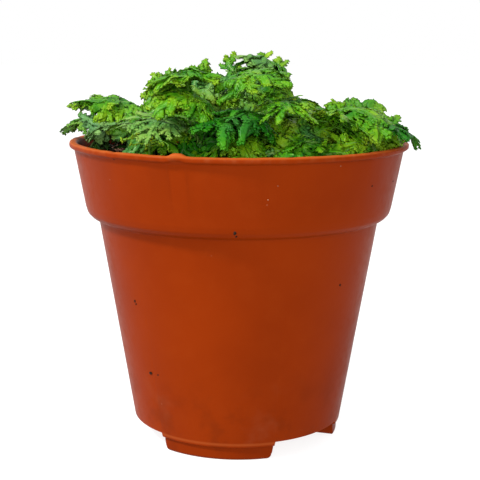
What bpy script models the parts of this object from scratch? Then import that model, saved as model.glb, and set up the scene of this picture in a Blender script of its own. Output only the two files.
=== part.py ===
"""A spikemoss plant in a plastic nursery pot: the pot, its potting soil and every leafy frond as a solid of its own.

Run it with blender --background --python part.py, or from Blender's text editor.
Metres, +Z up. The origin is on the pot's axis, at the level that its feet stand on, and the front is towards -Y.
"""

import math
import random

import bmesh
import bpy
import numpy as np
from mathutils import Vector
from mathutils.bvhtree import BVHTree

MM = 0.001

# Pot: a thin wall with a lip, a wide band under it, a shoulder, and a tapered body
LIP_RADIUS = 53.0 * MM
POT_HEIGHT = 94.0 * MM
LIP_HEIGHT = 2.0 * MM
BAND_TOP_RADIUS = 51.5 * MM
BAND_FOOT_RADIUS = 48.15 * MM
SHOULDER_TOP = 73.9 * MM
SHOULDER_FOOT = 69.9 * MM
BODY_TOP_RADIUS = 44.15 * MM
BODY_FOOT_RADIUS = 33.3 * MM
WALL = 1.1 * MM
POT_STEPS = 40

# Pot's underside: three hollow feet on one ring, with gaps between them, and drain holes
FOOT_HEIGHT = 4.3 * MM
FOOT_OUTER_RADIUS = 32.4 * MM
FOOT_INNER_RADIUS = 24.5 * MM
FOOT_ROUNDING = 0.6 * MM
FOOT_COUNT = 3
FOOT_WIDTH_DEG = 64.0
FIRST_FOOT_DEG = -11.8
GAP_TOP = 5.7 * MM
FLOOR_UNDERSIDE = 5.4 * MM
FLOOR_TOP = 6.8 * MM
DRAIN_RADIUS = 2.8 * MM
DRAIN_RING_RADIUS = 17.5 * MM
DRAIN_COUNT = 3
GAP_DRAIN_RADIUS = 28.2 * MM

# Soil
SOIL_LEVEL = 86.6 * MM
SOIL_GAP = 0.45 * MM
SOIL_STEPS = 24
SOIL_BUMP = 0.7 * MM

# Stems and blades
STEM_RADIUS = 0.72 * MM
ROOT_DEPTH = 6.0 * MM
HOLE_RADIUS = 1.55 * MM
BLADE_THICKNESS = 0.7 * MM
BLADE_CLEARANCE = 0.36 * MM
RIB_HALF_WIDTH = 0.9 * MM
LIP_CLEARANCE = 1.2 * MM
ROOT_SPACING = 3.6 * MM
NECK_LEAN = 0.25
TRIES = 300

# The plant's top line as x and z, for a viewer in front of it, who sees it against the plane y = 10
TOP_LINE = (
    (-58, 104.5), (-45, 108.5), (-33, 107), (-25, 116), (-17, 116.5), (-8, 119), (6, 121.5), (14, 120), (18, 105.5),
    (42, 106.5), (46, 102), (51, 103), (53, 99), (60, 93),
)
TOP_LINE_Y = 10.0 * MM
EYE_DISTANCE = 346.0 * MM
EYE_HEIGHT = 127.0 * MM

# The fronds that make that line. Each row: the root's x and y, the neck's height over the soil,
# the tip's x, y and z, half of the blade's width, its droop and its roll. Millimetres and degrees.
OUTLINE_FRONDS = (
    (-27, 16, 12.5, -57, 24, 102.0, 8.0, 62, -8),
    (-22, -2, 10.5, -53, 2, 96.5, 10.5, 56, 16),
    (-19, -14, 10.0, -45, -20, 94.5, 10.0, 66, 10),
    (-13, -24, 9.0, -35, -36, 92.5, 10.0, 66, 0),
    (-19, 12, 16.0, -27, 13, 111.0, 7.0, 74, 0),
    (-6, 14, 17.0, -22, 14, 112.5, 10.5, 76, 20),
    (-1, 4, 18.0, -9, -9, 111.0, 10.0, 88, -12),
    (3, 14, 19.0, 6, 27, 117.0, 10.5, 46, 0),
    (-1, 1, 18.5, 17, 1, 110.5, 8.5, 80, -16),
    (12, 8, 10.0, 25, 21, 103.0, 9.0, 66, 0),
    (22, 6, 10.0, 40, 13, 102.0, 10.0, 70, -18),
    (30, 4, 7.5, 50, 4, 98.0, 8.0, 62, -8),
    (30, -10, 6.5, 56, -6, 95.0, 9.0, 50, -12),
    (22, -17, 8.0, 42, -30, 95.5, 10.0, 56, -14),
)

# The fronds between and behind them. Their blades' middles lie on a spiral as in a flower head, and on a mound
FILL_FRONDS = 66
FILL_SEED = 3
FILL_START = 60.0
GOLDEN_ANGLE = 137.508
FILL_RADIUS = 40.0 * MM
MOUND_CENTRE = (-3.0 * MM, 6.0 * MM)
MOUND_SPREAD = 21.0 * MM
MOUND_HEIGHT = 24.0 * MM
MOUND_FOOT = 4.0 * MM
NODE_FRONDS = 2

# Young fronds low down between the stems, mostly near the front
YOUNG_FRONDS = 12
YOUNG_SEED = 7
YOUNG_RADII = (14.0 * MM, 42.0 * MM)

# A branchlet's edge as shares of its length and width, finely cut for the outline and plainer for the fill
FINE_LOBE = ((0.48, -0.50), (0.60, -0.38), (0.93, -0.38), (1.0, 0.14), (0.74, 0.47), (0.46, 0.42))
PLAIN_LOBE = ((0.54, -0.50), (0.94, -0.36), (1.0, 0.20), (0.62, 0.52))

POT_COLOUR = (0.50, 0.095, 0.020)
SOIL_COLOUR = (0.055, 0.024, 0.013)
LEAF_COLOUR = (0.070, 0.235, 0.020)


def material(name, colour, roughness):
    made = bpy.data.materials.new(name)
    made.use_nodes = True
    shader = made.node_tree.nodes["Principled BSDF"]
    shader.inputs["Base Color"].default_value = (*colour, 1.0)
    shader.inputs["Roughness"].default_value = roughness
    shader.inputs["Metallic"].default_value = 0.0
    return made


def collection(name):
    made = bpy.data.collections.new(name)
    bpy.context.scene.collection.children.link(made)
    return made


def turned(name, profile, steps, into):
    """A closed outline of (radius, height) points, which ends on the axis at both ends, spun about Z."""
    mesh = bpy.data.meshes.new(name)
    points = [(radius, 0.0, height) for radius, height in profile]
    mesh.from_pydata(points, [(i, i + 1) for i in range(len(points) - 1)], [])
    made = bpy.data.objects.new(name, mesh)
    into.objects.link(made)
    spin = made.modifiers.new("spin", "SCREW")
    spin.axis = "Z"
    spin.angle = math.tau
    spin.steps = steps
    spin.render_steps = steps
    spin.use_merge_vertices = True
    spin.merge_threshold = 0.05 * MM
    return made


def as_mesh(source, into, weld=0.0):
    """The evaluated object as a plain mesh object of the same name. The source is removed."""
    bpy.context.view_layer.update()
    graph = bpy.context.evaluated_depsgraph_get()
    mesh = bpy.data.meshes.new_from_object(source.evaluated_get(graph))
    mesh.transform(source.matrix_world)
    if weld:
        shape = bmesh.new()
        shape.from_mesh(mesh)
        bmesh.ops.remove_doubles(shape, verts=shape.verts, dist=weld)
        shape.to_mesh(mesh)
        shape.free()
    name = source.name
    bpy.data.objects.remove(source)
    made = bpy.data.objects.new(name, mesh)
    into.objects.link(made)
    return made


def as_cutter(made):
    made.hide_render = True
    made.display_type = "WIRE"
    return made


def sector(name, inner, outer, middle_deg, width_deg, low, high, into):
    """An upright block over a piece of a ring, as a filled and extruded flat outline."""
    steps = 6
    half = math.radians(width_deg) / 2
    middle = math.radians(middle_deg)
    angles = [middle - half + 2 * half * i / steps for i in range(steps + 1)]
    rim = [(outer * math.sin(a), -outer * math.cos(a)) for a in angles]
    rim += [(inner * math.sin(a), -inner * math.cos(a)) for a in reversed(angles)]
    outline = bpy.data.curves.new(name, "CURVE")
    outline.dimensions = "2D"
    outline.fill_mode = "BOTH"
    outline.extrude = (high - low) / 2
    line = outline.splines.new("POLY")
    line.points.add(len(rim) - 1)
    for point, (x, y) in zip(line.points, rim):
        point.co = (x, y, 0.0, 1.0)
    line.use_cyclic_u = True
    made = bpy.data.objects.new(name, outline)
    made.location.z = (high + low) / 2
    into.objects.link(made)
    return as_cutter(as_mesh(made, into, weld=0.001 * MM))


def upright_cylinder(name, x, y, radius, low, high, sides, into):
    shape = bmesh.new()
    bmesh.ops.create_cone(
        shape, cap_ends=True, segments=sides, radius1=radius, radius2=radius, depth=high - low
    )
    mesh = bpy.data.meshes.new(name)
    shape.to_mesh(mesh)
    shape.free()
    made = bpy.data.objects.new(name, mesh)
    made.location = (x, y, (high + low) / 2)
    into.objects.link(made)
    return as_cutter(made)


def cut(target, cutters):
    difference = target.modifiers.new("cut", "BOOLEAN")
    difference.operation = "DIFFERENCE"
    difference.operand_type = "COLLECTION"
    difference.collection = cutters
    difference.solver = "EXACT"


# Pot

def pot_profile():
    """Inner floor to lip on the inside, then down the outside to the middle of the underside."""
    lip_foot = POT_HEIGHT - LIP_HEIGHT
    inside = [
        (0.0, FLOOR_TOP),
        (BODY_FOOT_RADIUS - 2.4 * WALL, FLOOR_TOP),
        (BODY_FOOT_RADIUS - WALL, FLOOR_TOP + 1.2 * MM),
        (BODY_TOP_RADIUS - WALL, SHOULDER_FOOT + 0.7 * MM),
        (BAND_FOOT_RADIUS - 1.9 * MM, SHOULDER_TOP - 1.2 * MM),
        (BAND_TOP_RADIUS - WALL, POT_HEIGHT - 0.6 * MM),
    ]
    lip = [
        (BAND_TOP_RADIUS - 0.5 * MM, POT_HEIGHT),
        (LIP_RADIUS - 0.5 * MM, POT_HEIGHT),
        (LIP_RADIUS, POT_HEIGHT - 0.5 * MM),
        (LIP_RADIUS - 0.1 * MM, lip_foot + 0.4 * MM),
        (BAND_TOP_RADIUS, lip_foot - 0.1 * MM),
    ]
    outside = [
        (BAND_FOOT_RADIUS, SHOULDER_TOP),
        (BAND_FOOT_RADIUS - 0.55 * MM, SHOULDER_TOP - 1.8 * MM),
        (BAND_FOOT_RADIUS - 1.75 * MM, SHOULDER_FOOT + 0.9 * MM),
        (BODY_TOP_RADIUS, SHOULDER_FOOT),
        (BODY_FOOT_RADIUS, FOOT_HEIGHT),
    ]
    underside = [
        (FOOT_OUTER_RADIUS, FOOT_HEIGHT),
        (FOOT_OUTER_RADIUS, FOOT_ROUNDING),
        (FOOT_OUTER_RADIUS - FOOT_ROUNDING, 0.0),
        (FOOT_INNER_RADIUS, 0.0),
        (FOOT_INNER_RADIUS, FLOOR_UNDERSIDE),
        (0.0, FLOOR_UNDERSIDE),
    ]
    return inside + lip + outside + underside


def foot_cutters(into):
    """Gaps between the feet, the hollow inside each foot, and a drain hole in each gap."""
    pitch = 360.0 / FOOT_COUNT
    for i in range(FOOT_COUNT):
        foot = FIRST_FOOT_DEG + pitch * i
        gap = foot + pitch / 2
        sector(
            f"gap_{i}", FOOT_INNER_RADIUS - 1.5 * MM, BODY_FOOT_RADIUS + 6 * MM,
            gap, pitch - FOOT_WIDTH_DEG, -2 * MM, GAP_TOP, into,
        )
        sector(
            f"foot_hollow_{i}", FOOT_INNER_RADIUS + WALL, FOOT_OUTER_RADIUS - WALL,
            foot, FOOT_WIDTH_DEG - 5.0, WALL, FLOOR_TOP + 3 * MM, into,
        )
        a = math.radians(gap)
        upright_cylinder(
            f"gap_drain_{i}", GAP_DRAIN_RADIUS * math.sin(a), -GAP_DRAIN_RADIUS * math.cos(a),
            DRAIN_RADIUS, 0.0, FLOOR_TOP + 3 * MM, 6, into,
        )


def floor_drain_cutters(into):
    for i in range(DRAIN_COUNT):
        a = math.tau * (i + 0.5) / DRAIN_COUNT
        upright_cylinder(
            f"drain_{i}", DRAIN_RING_RADIUS * math.cos(a), DRAIN_RING_RADIUS * math.sin(a),
            DRAIN_RADIUS, 0.0, FLOOR_TOP + 3 * MM, 6, into,
        )


def make_pot(into):
    cutters = collection("pot_cutters")
    foot_cutters(cutters)
    floor_drain_cutters(cutters)
    pot = turned("pot", pot_profile(), POT_STEPS, into)
    cut(pot, cutters)
    pot.data.materials.append(material("terracotta_plastic", POT_COLOUR, 0.42))
    return pot


# Soil

def soil_height(x, y):
    """The soil's top: low mounds, from a sum of waves."""
    waves = math.sin(x * 190 + 1.3) * math.cos(y * 160) + 0.7 * math.sin(x * 90 - y * 240 + 0.6)
    return SOIL_LEVEL + SOIL_BUMP * waves


def pot_inner_radius(z):
    """Radius of the pot's inner wall at a height, between the profile's points."""
    radii, heights = np.array(pot_profile()[2:6]).T
    return np.interp(z, heights, radii)


def soil_profile():
    inner = pot_profile()
    edge = SOIL_LEVEL - 0.8 * MM
    side = [(radius - SOIL_GAP, height + SOIL_GAP / 2) for radius, height in inner[1:5]]
    side[0] = (inner[1][0] - SOIL_GAP, FLOOR_TOP + SOIL_GAP)
    side[1] = (inner[2][0] - 1.5 * SOIL_GAP, inner[2][1] + SOIL_GAP)
    side.append((pot_inner_radius(edge) - SOIL_GAP, edge))
    top = [(radius * MM, SOIL_LEVEL) for radius in (44, 22)]
    bottom_up = [(0.0, FLOOR_TOP + SOIL_GAP)] + side + top + [(0.0, SOIL_LEVEL)]
    return list(reversed(bottom_up))


def make_soil(fronds, into):
    soil = as_mesh(turned("soil", soil_profile(), SOIL_STEPS, into), into)
    for vertex in soil.data.vertices:
        if vertex.co.z > SOIL_LEVEL - 0.5 * MM:
            vertex.co.z = soil_height(vertex.co.x, vertex.co.y)
    holes = collection("stem_holes")
    for i, frond in enumerate(fronds):
        upright_cylinder(
            f"stem_hole_{i}", frond.root.x, frond.root.y, HOLE_RADIUS,
            frond.root.z - ROOT_DEPTH - 0.5 * MM, frond.root.z + 4 * MM, 4, holes,
        )
    cut(soil, holes)
    soil.data.materials.append(material("potting_soil", SOIL_COLOUR, 0.95))
    return soil


# Fronds

class Frond:
    """One spray: a stem that rises out of the soil, and a flat blade that arches from the stem's neck.

    A point of the blade is given by s, along the rib from the neck, and t, out to the side."""

    RIB_STEPS = 24

    def __init__(self, root, neck, heading, sweep, length, half_width, pitch, droop, roll, seed):
        self.root = Vector((*root, soil_height(*root)))
        self.heading, self.sweep = heading, sweep
        self.length, self.half_width = length, half_width
        self.pitch, self.droop, self.roll = pitch, droop, roll
        draw = random.Random(seed)
        self.twist = math.radians(draw.uniform(-16, 16))
        self.cup = math.radians(draw.uniform(18, 42)) / half_width
        self.wave = draw.uniform(0.5, 0.9) * MM
        self.wave_start = draw.uniform(0, math.tau)
        self.seed = seed
        self.neck = Vector(neck_of(root, neck, heading))
        step = length / self.RIB_STEPS
        steps = self.axes((np.arange(self.RIB_STEPS) + 0.5) * step)[0] * step
        self.line = np.array(self.neck) + np.vstack([np.zeros(3), np.cumsum(steps, axis=0)])
        self.stations = np.arange(self.RIB_STEPS + 1) * step

    def axes(self, s):
        """Unit vectors at each s: along the rib, to the blade's side, and out of its upper face."""
        share = np.asarray(s, dtype=float) / self.length
        up = self.pitch - self.droop * share
        way = self.heading + self.sweep * share
        roll = self.roll + self.twist * share
        along = np.stack([np.cos(up) * np.cos(way), np.cos(up) * np.sin(way), np.sin(up)], axis=-1)
        level = np.stack([-np.sin(way), np.cos(way), np.zeros_like(way)], axis=-1)
        side = level * np.cos(roll)[..., None] + np.cross(along, level) * np.sin(roll)[..., None]
        return along, side, np.cross(along, side)

    def rib(self, s):
        inside = np.clip(s, 0.0, self.length)
        place = np.stack([np.interp(inside, self.stations, self.line[:, k]) for k in range(3)], axis=-1)
        return place + self.axes(inside)[0] * (s - inside)[..., None]

    def surface(self, s, t):
        """Points of the blade's middle surface, and its upper direction there."""
        _, side, above = self.axes(s)
        turn = self.cup * t
        ripple = np.sin(15 * s / self.length + self.wave_start + 2 * (t > 0))
        lift = self.wave * (t / self.half_width) ** 2 * ripple - (1 - np.cos(turn)) / self.cup
        points = self.rib(s) + side * (np.sin(turn) / self.cup)[..., None] + above * lift[..., None]
        return points, above * np.cos(turn)[..., None] + side * np.sin(turn)[..., None]

    def stem_line(self):
        """Up through the soil, over in a smooth bend to the neck, and on into the blade."""
        start = self.root + Vector((0, 0, 1.0 * MM))
        bend = start + Vector((0, 0, 0.6 * (self.neck - start).length))
        middle = start * 0.25 + bend * 0.5 + self.neck * 0.25
        end = Vector(self.rib(np.array([0.18 * self.length]))[0])
        return [self.root - Vector((0, 0, ROOT_DEPTH)), start, middle, self.neck, end]


def neck_of(root, neck, heading):
    """Where the stem ends and the blade starts: up by the neck's height and a little forward."""
    x, y = root
    lean = NECK_LEAN * neck
    return x + lean * math.cos(heading), y + lean * math.sin(heading), soil_height(x, y) + neck


def lobes(length, half_width, per_side, seed):
    """The side branchlets of a blade from neck to tip, as (s, side, length, angle, width), then the end one."""
    draw = random.Random(seed + 1000)
    spacing = 0.76 * length / per_side
    found = []
    for i in range(per_side):
        for side, shift in ((1, 0.42), (-1, 0.86)):
            s = spacing * (i + shift)
            share = s / length
            angle = math.radians(64 - 26 * share + draw.uniform(-3, 3))
            reach = half_width * math.sin(math.pi * (0.22 + 0.66 * share)) ** 0.75
            reach *= draw.uniform(0.86, 1.10)
            found.append((s, side, reach / math.sin(angle), angle, 0.86 * spacing * math.sin(angle)))
    tip = 0.82 * length
    found.append((tip, 0, length - tip, 0.0, 0.62 * spacing))
    return found


def outline(length, half_width, edge, seed):
    """The blade's cut edge in (s, t), anticlockwise from the neck."""
    per_side = 4 if edge is FINE_LOBE else 3
    right, left, end = [], [], []
    for s, side, reach, angle, width in lobes(length, half_width, per_side, seed):
        c, d = math.cos(angle), math.sin(angle)
        points = []
        for along, across in edge:
            u, v = along * reach, across * width
            points.append((s + u * c + v * d + 0.08 * reach * along * along, (u * d - v * c) * (side or 1)))
        notch = s - 0.52 * width / max(d, 0.3)
        if side > 0:
            left.append([(notch, RIB_HALF_WIDTH)] + points)
        elif side < 0:
            right.append([(notch, -RIB_HALF_WIDTH)] + points)
        else:
            end = [(s + along * reach, across * width) for along, across in edge]
    found = []
    for lobe in right:
        found += lobe
    found += end
    for lobe in reversed(left):
        found += list(reversed(lobe))
    return found


def flat_triangles(edge):
    """The outline filled with triangles, as a bmesh whose points are (s, t, 0)."""
    shape = bmesh.new()
    points = [shape.verts.new((s, t, 0.0)) for s, t in edge]
    loop = [shape.edges.new((a, b)) for a, b in zip(points, points[1:] + points[:1])]
    bmesh.ops.triangle_fill(shape, use_beauty=True, use_dissolve=False, edges=loop, normal=(0, 0, 1))
    shape.verts.index_update()
    return shape


def shell_faces(flat):
    """Faces of the closed blade: upper, lower and edge, for points listed upper side first."""
    count = len(flat.verts)
    faces = [[v.index for v in f.verts] for f in flat.faces]
    faces += [[i + count for i in f] for f in faces]
    for edge in flat.edges:
        if edge.is_boundary:
            a, b = edge.verts[0].index, edge.verts[1].index
            faces.append([a, b, b + count, a + count])
    return faces


def frond_tree(frond, middle, away, faces, half_thickness, stem_radius):
    """The frond's surfaces, for the crossing test: the closed blade, and a four-sided stem."""
    points = np.vstack([middle + away * half_thickness, middle - away * half_thickness]).tolist()
    faces = list(faces)
    base = len(points)
    line = frond.stem_line()[:-1]
    for i, p in enumerate(line):
        ahead = (line[min(i + 1, len(line) - 1)] - line[max(i - 1, 0)]).normalized()
        across = ahead.orthogonal().normalized() * stem_radius
        other = ahead.cross(across)
        points += [p + across, p + other, p - across, p - other]
    for i in range(len(line) - 1):
        for k in range(4):
            a, b = base + 4 * i + k, base + 4 * i + (k + 1) % 4
            faces.append([a, b, b + 4, a + 4])
    return BVHTree.FromPolygons(points, faces)


def clear_of_pot(points):
    """Above the soil, above the lip where it passes over it, and not far out past the pot."""
    out = np.hypot(points[:, 0], points[:, 1])
    height = points[:, 2]
    wall = pot_inner_radius(height)
    low = height < POT_HEIGHT + LIP_CLEARANCE
    hits_wall = low & (out > wall - LIP_CLEARANCE) & (out < LIP_RADIUS + LIP_CLEARANCE)
    under = (height < SOIL_LEVEL + 2.0 * MM) | (low & (out > LIP_RADIUS) & (height < POT_HEIGHT - 3 * MM))
    wide = (abs(points[:, 1]) > LIP_RADIUS + 0.4 * MM) | (abs(points[:, 0]) > LIP_RADIUS + 4.2 * MM)
    return not (hits_wall | under | wide).any()


def under_top_line(points):
    """Whether a viewer in front sees all of the points under the plant's top line."""
    x, z = np.array(TOP_LINE).T * MM
    nearness = (points[:, 1] + EYE_DISTANCE) / (TOP_LINE_Y + EYE_DISTANCE)
    limit = EYE_HEIGHT - (EYE_HEIGHT - np.interp(points[:, 0] / nearness, x, z)) * nearness
    return (points[:, 2] < limit).all()


def outline_rows():
    """The outline's fronds. The blade is an arc, so its chord gives its length and its first pitch."""
    for number, (x, y, neck, tip_x, tip_y, tip_z, half_width, droop, roll) in enumerate(OUTLINE_FRONDS):
        root = (x * MM, y * MM)
        heading = math.atan2(tip_y - y, tip_x - x)
        chord = Vector((tip_x, tip_y, tip_z)) * MM - Vector(neck_of(root, neck * MM, heading))
        bend = math.radians(droop)
        length = chord.length * (bend / 2) / math.sin(bend / 2)
        pitch = math.asin(chord.z / chord.length) + bend / 2
        yield root, neck * MM, heading, length, half_width * MM, pitch, bend, math.radians(roll), FINE_LOBE, number


def mound_height(x, y):
    """How high the leaves reach over the soil."""
    off = math.hypot(x - MOUND_CENTRE[0], y - MOUND_CENTRE[1])
    return MOUND_FOOT + MOUND_HEIGHT * math.exp(-0.5 * (off / MOUND_SPREAD) ** 2)


def fill_rows():
    """The other fronds, from the pot's edge inwards. Each lies along the mound's slope, as thatch does."""
    draw = random.Random(FILL_SEED)
    for i in reversed(range(FILL_FRONDS)):
        radius = FILL_RADIUS * math.sqrt((i + 0.5) / FILL_FRONDS)
        angle = math.radians(GOLDEN_ANGLE * i + FILL_START)
        x, y = radius * math.cos(angle), radius * math.sin(angle)
        off = math.hypot(x - MOUND_CENTRE[0], y - MOUND_CENTRE[1])
        heading = math.atan2(y - MOUND_CENTRE[1], x - MOUND_CENTRE[0])
        heading += math.radians(25 + 110 * math.exp(-off / (8 * MM))) * draw.uniform(-1, 1)
        length = draw.uniform(17, 23) * MM
        neck_x, neck_y = x - 0.45 * length * math.cos(heading), y - 0.45 * length * math.sin(heading)
        neck = mound_height(neck_x, neck_y) * draw.uniform(0.8, 1.0)
        root = (neck_x - NECK_LEAN * neck * math.cos(heading), neck_y - NECK_LEAN * neck * math.sin(heading))
        fall = math.atan2(mound_height(neck_x, neck_y) - mound_height(x, y), 0.45 * length)
        droop = math.radians(draw.uniform(48, 78))
        pitch = droop / 2 - 0.8 * fall + math.radians(draw.uniform(-8, 8))
        roll = math.radians(draw.uniform(-18, 18))
        yield root, neck, heading, length, draw.uniform(8.5, 11.0) * MM, pitch, droop, roll, PLAIN_LOBE, 100 + i


def young_rows():
    """Short, steep fronds that stand low between the stems of the others."""
    draw = random.Random(YOUNG_SEED)
    inner, outer = YOUNG_RADII
    for i in range(YOUNG_FRONDS):
        share = (i + 0.5) / YOUNG_FRONDS
        radius = inner + (outer - inner) * math.sqrt(draw.random())
        angle = math.radians(-90 + 150 * math.copysign(share ** 1.3, (i % 2) - 0.5) + draw.uniform(-8, 8))
        yield (
            (radius * math.cos(angle), radius * math.sin(angle)), draw.uniform(2.0, 4.5) * MM,
            angle + math.radians(draw.uniform(-50, 50)), draw.uniform(10, 14) * MM, draw.uniform(6.5, 8.0) * MM,
            math.radians(draw.uniform(38, 66)), math.radians(draw.uniform(40, 70)),
            math.radians(draw.uniform(-12, 12)), PLAIN_LOBE, 200 + i,
        )


def variants(row):
    """The frond as its row gives it, then ever freer changes of its root, heading, pitch, height and roll."""
    root, neck, heading, length, half_width, pitch, droop, roll, _, seed = row
    draw = random.Random(seed + 500)
    sweep = math.radians(draw.uniform(-24, 24))
    for i in range(TRIES):
        free = i / TRIES
        x = root[0] + 3 * MM * free * draw.uniform(-1, 1)
        y = root[1] + 3 * MM * free * draw.uniform(-1, 1)
        turn = math.radians(60) * free * draw.uniform(-1, 1)
        lift = math.radians(30) * free * draw.uniform(-1, 1)
        yield Frond(
            (x, y), neck * (1 + free * draw.uniform(-0.5, 1.0)), heading - sweep / 2 + turn, sweep,
            length, half_width, pitch + lift, droop + lift * draw.uniform(-0.5, 1.5),
            roll + math.radians(35) * free * draw.uniform(-1, 1), seed,
        )


def settled_nodes():
    """The fronds, each in a place where it crosses nothing that stands already, as lists of (frond, flat blade).

    Where no variant of a frond is free of the others, it joins the one that it crosses, as leaves that grow into
    each other do. One that fits neither way is left out."""
    nodes, trees = [], []
    for row in list(outline_rows()) + list(fill_rows()) + list(young_rows()):
        flat = flat_triangles(outline(row[3], row[4], row[8], row[9]))
        s, t = np.array([v.co[:2] for v in flat.verts]).T
        faces = shell_faces(flat)
        roots = [frond.root for node in nodes for frond, _ in node]
        joined = None
        for frond in variants(row):
            if any((frond.root - root).length < ROOT_SPACING for root in roots):
                continue
            middle, away = frond.surface(s, t)
            if not (clear_of_pot(middle) and under_top_line(middle)):
                continue
            half = BLADE_THICKNESS / 2
            wide = frond_tree(frond, middle, away, faces, half + BLADE_CLEARANCE, STEM_RADIUS + BLADE_CLEARANCE)
            crossed = [i for i, tree in enumerate(trees) if any(wide.overlap(part) for part in tree)]
            if len(crossed) > 1 or (crossed and (joined or len(nodes[crossed[0]]) >= NODE_FRONDS)):
                continue
            tree = frond_tree(frond, middle, away, faces, half, STEM_RADIUS)
            if not crossed:
                nodes.append([(frond, flat)])
                trees.append([tree])
                joined = None
                break
            slim = frond_tree(frond, middle, away, faces, half / 3, STEM_RADIUS / 2)
            if any(slim.overlap(part) for part in trees[crossed[0]]):
                joined = (crossed[0], frond, tree)
        if joined:
            number, frond, tree = joined
            nodes[number].append((frond, flat))
            trees[number].append(tree)
    return nodes


def make_stem(frond, into):
    line = frond.stem_line()
    curve = bpy.data.curves.new("stem", "CURVE")
    curve.dimensions = "3D"
    curve.bevel_depth = STEM_RADIUS
    curve.bevel_resolution = 0
    curve.use_fill_caps = True
    spline = curve.splines.new("POLY")
    spline.points.add(len(line) - 1)
    for point, place in zip(spline.points, line):
        point.co = (*place, 1.0)
    made = bpy.data.objects.new("stem", curve)
    into.objects.link(made)
    made.modifiers.new("triangles", "TRIANGULATE")
    return as_mesh(made, into, weld=0.001 * MM)


def make_blade(frond, flat, into):
    s, t = np.array([v.co[:2] for v in flat.verts]).T
    for vertex, point in zip(flat.verts, frond.surface(s, t)[0]):
        vertex.co = point
    mesh = bpy.data.meshes.new("blade")
    flat.to_mesh(mesh)
    flat.free()
    blade = bpy.data.objects.new("blade", mesh)
    into.objects.link(blade)
    wall = blade.modifiers.new("thickness", "SOLIDIFY")
    wall.thickness = BLADE_THICKNESS
    wall.offset = 0.0
    blade.modifiers.new("triangles", "TRIANGULATE")
    return as_mesh(blade, into)


def make_node(name, node, leaf, into):
    """A frond's blade and stem, and those of the fronds that grow into it, joined in one solid."""
    pieces = collection(name + "_pieces")
    for frond, flat in node:
        make_blade(frond, flat, pieces)
        make_stem(frond, pieces)
    first = pieces.objects[0]
    first.name = name
    pieces.objects.unlink(first)
    into.objects.link(first)
    union = first.modifiers.new("join", "BOOLEAN")
    union.operation = "UNION"
    union.operand_type = "COLLECTION"
    union.collection = pieces
    union.solver = "EXACT"
    joined = as_mesh(first, into)
    for piece in list(pieces.objects):
        bpy.data.objects.remove(piece)
    bpy.data.collections.remove(pieces)
    joined.data.materials.append(leaf)
    return joined


def main():
    for old in list(bpy.data.objects):
        bpy.data.objects.remove(old)
    plant = collection("potted_spikemoss")
    nodes = settled_nodes()
    leaf = material("spikemoss_leaf", LEAF_COLOUR, 0.45)
    for number, node in enumerate(nodes):
        make_node(f"frond_{number:02d}", node, leaf, plant)
    make_soil([frond for node in nodes for frond, _ in node], plant)
    make_pot(plant)


main()
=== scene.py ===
"""A spikemoss plant in a plastic nursery pot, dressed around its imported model.

Metres, +Z up, the front towards -Y. Every leaf, branchlet, crumb of soil and wall of the pot is made here.
"""

import math
import random

import bmesh
import bpy
import numpy as np
from mathutils import Matrix, Vector


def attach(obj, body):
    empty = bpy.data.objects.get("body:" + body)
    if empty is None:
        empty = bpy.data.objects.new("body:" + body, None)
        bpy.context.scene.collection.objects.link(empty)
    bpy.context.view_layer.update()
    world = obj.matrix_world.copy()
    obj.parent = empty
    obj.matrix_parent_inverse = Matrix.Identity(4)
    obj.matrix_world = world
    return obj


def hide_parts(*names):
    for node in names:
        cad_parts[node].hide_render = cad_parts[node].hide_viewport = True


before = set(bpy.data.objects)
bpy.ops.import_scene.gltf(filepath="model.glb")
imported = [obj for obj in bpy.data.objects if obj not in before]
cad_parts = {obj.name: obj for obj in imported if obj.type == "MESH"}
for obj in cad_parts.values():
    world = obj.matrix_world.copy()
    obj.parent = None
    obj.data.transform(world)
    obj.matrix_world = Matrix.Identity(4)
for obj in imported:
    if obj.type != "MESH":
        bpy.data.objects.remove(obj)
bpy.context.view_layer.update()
MM = 0.001
BODY = "root"

# Pot, as in the solid
LIP_RADIUS = 53.0 * MM
POT_HEIGHT = 94.0 * MM
LIP_FOOT = POT_HEIGHT - 2.0 * MM
BAND_TOP_RADIUS = 51.5 * MM
BAND_FOOT_RADIUS = 48.15 * MM
SHOULDER_TOP = 73.9 * MM
SHOULDER_FOOT = 69.9 * MM
BODY_TOP_RADIUS = 44.15 * MM
BODY_FOOT_RADIUS = 33.3 * MM
WALL = 1.1 * MM
FOOT_HEIGHT = 4.3 * MM
FOOT_OUTER_RADIUS = 32.4 * MM
FOOT_INNER_RADIUS = 24.5 * MM
FOOT_ROUNDING = 0.6 * MM
FOOT_COUNT = 3
FOOT_WIDTH_DEG = 64.0
FIRST_FOOT_DEG = -11.8
GAP_TOP = 5.7 * MM
FLOOR_UNDERSIDE = 5.4 * MM
FLOOR_TOP = 6.8 * MM
DRAIN_RADIUS = 2.8 * MM
DRAIN_RING_RADIUS = 17.5 * MM
DRAIN_COUNT = 3
GAP_DRAIN_RADIUS = 28.2 * MM
POT_STEPS = 288
LONGER_FOOT_DEG = 7.0
CORNER_RADIUS = 0.45 * MM
# How much wider, in degrees, the gap between two feet is at each height in mm
FOOT_END_ROUNDING = ((-2.0, 9.0), (0.0, 8.0), (0.35, 5.4), (1.0, 3.6), (2.2, 2.0), (4.0, 0.8))
FOOT_HOLLOW_DEG = FOOT_WIDTH_DEG - 9.0
FEET_CUT_INNER = FOOT_INNER_RADIUS - 1.5 * MM
FEET_CUT_OUTER = BODY_FOOT_RADIUS + 6.0 * MM
FLOOR_CUT_TOP = FLOOR_TOP + 3.0 * MM
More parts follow.
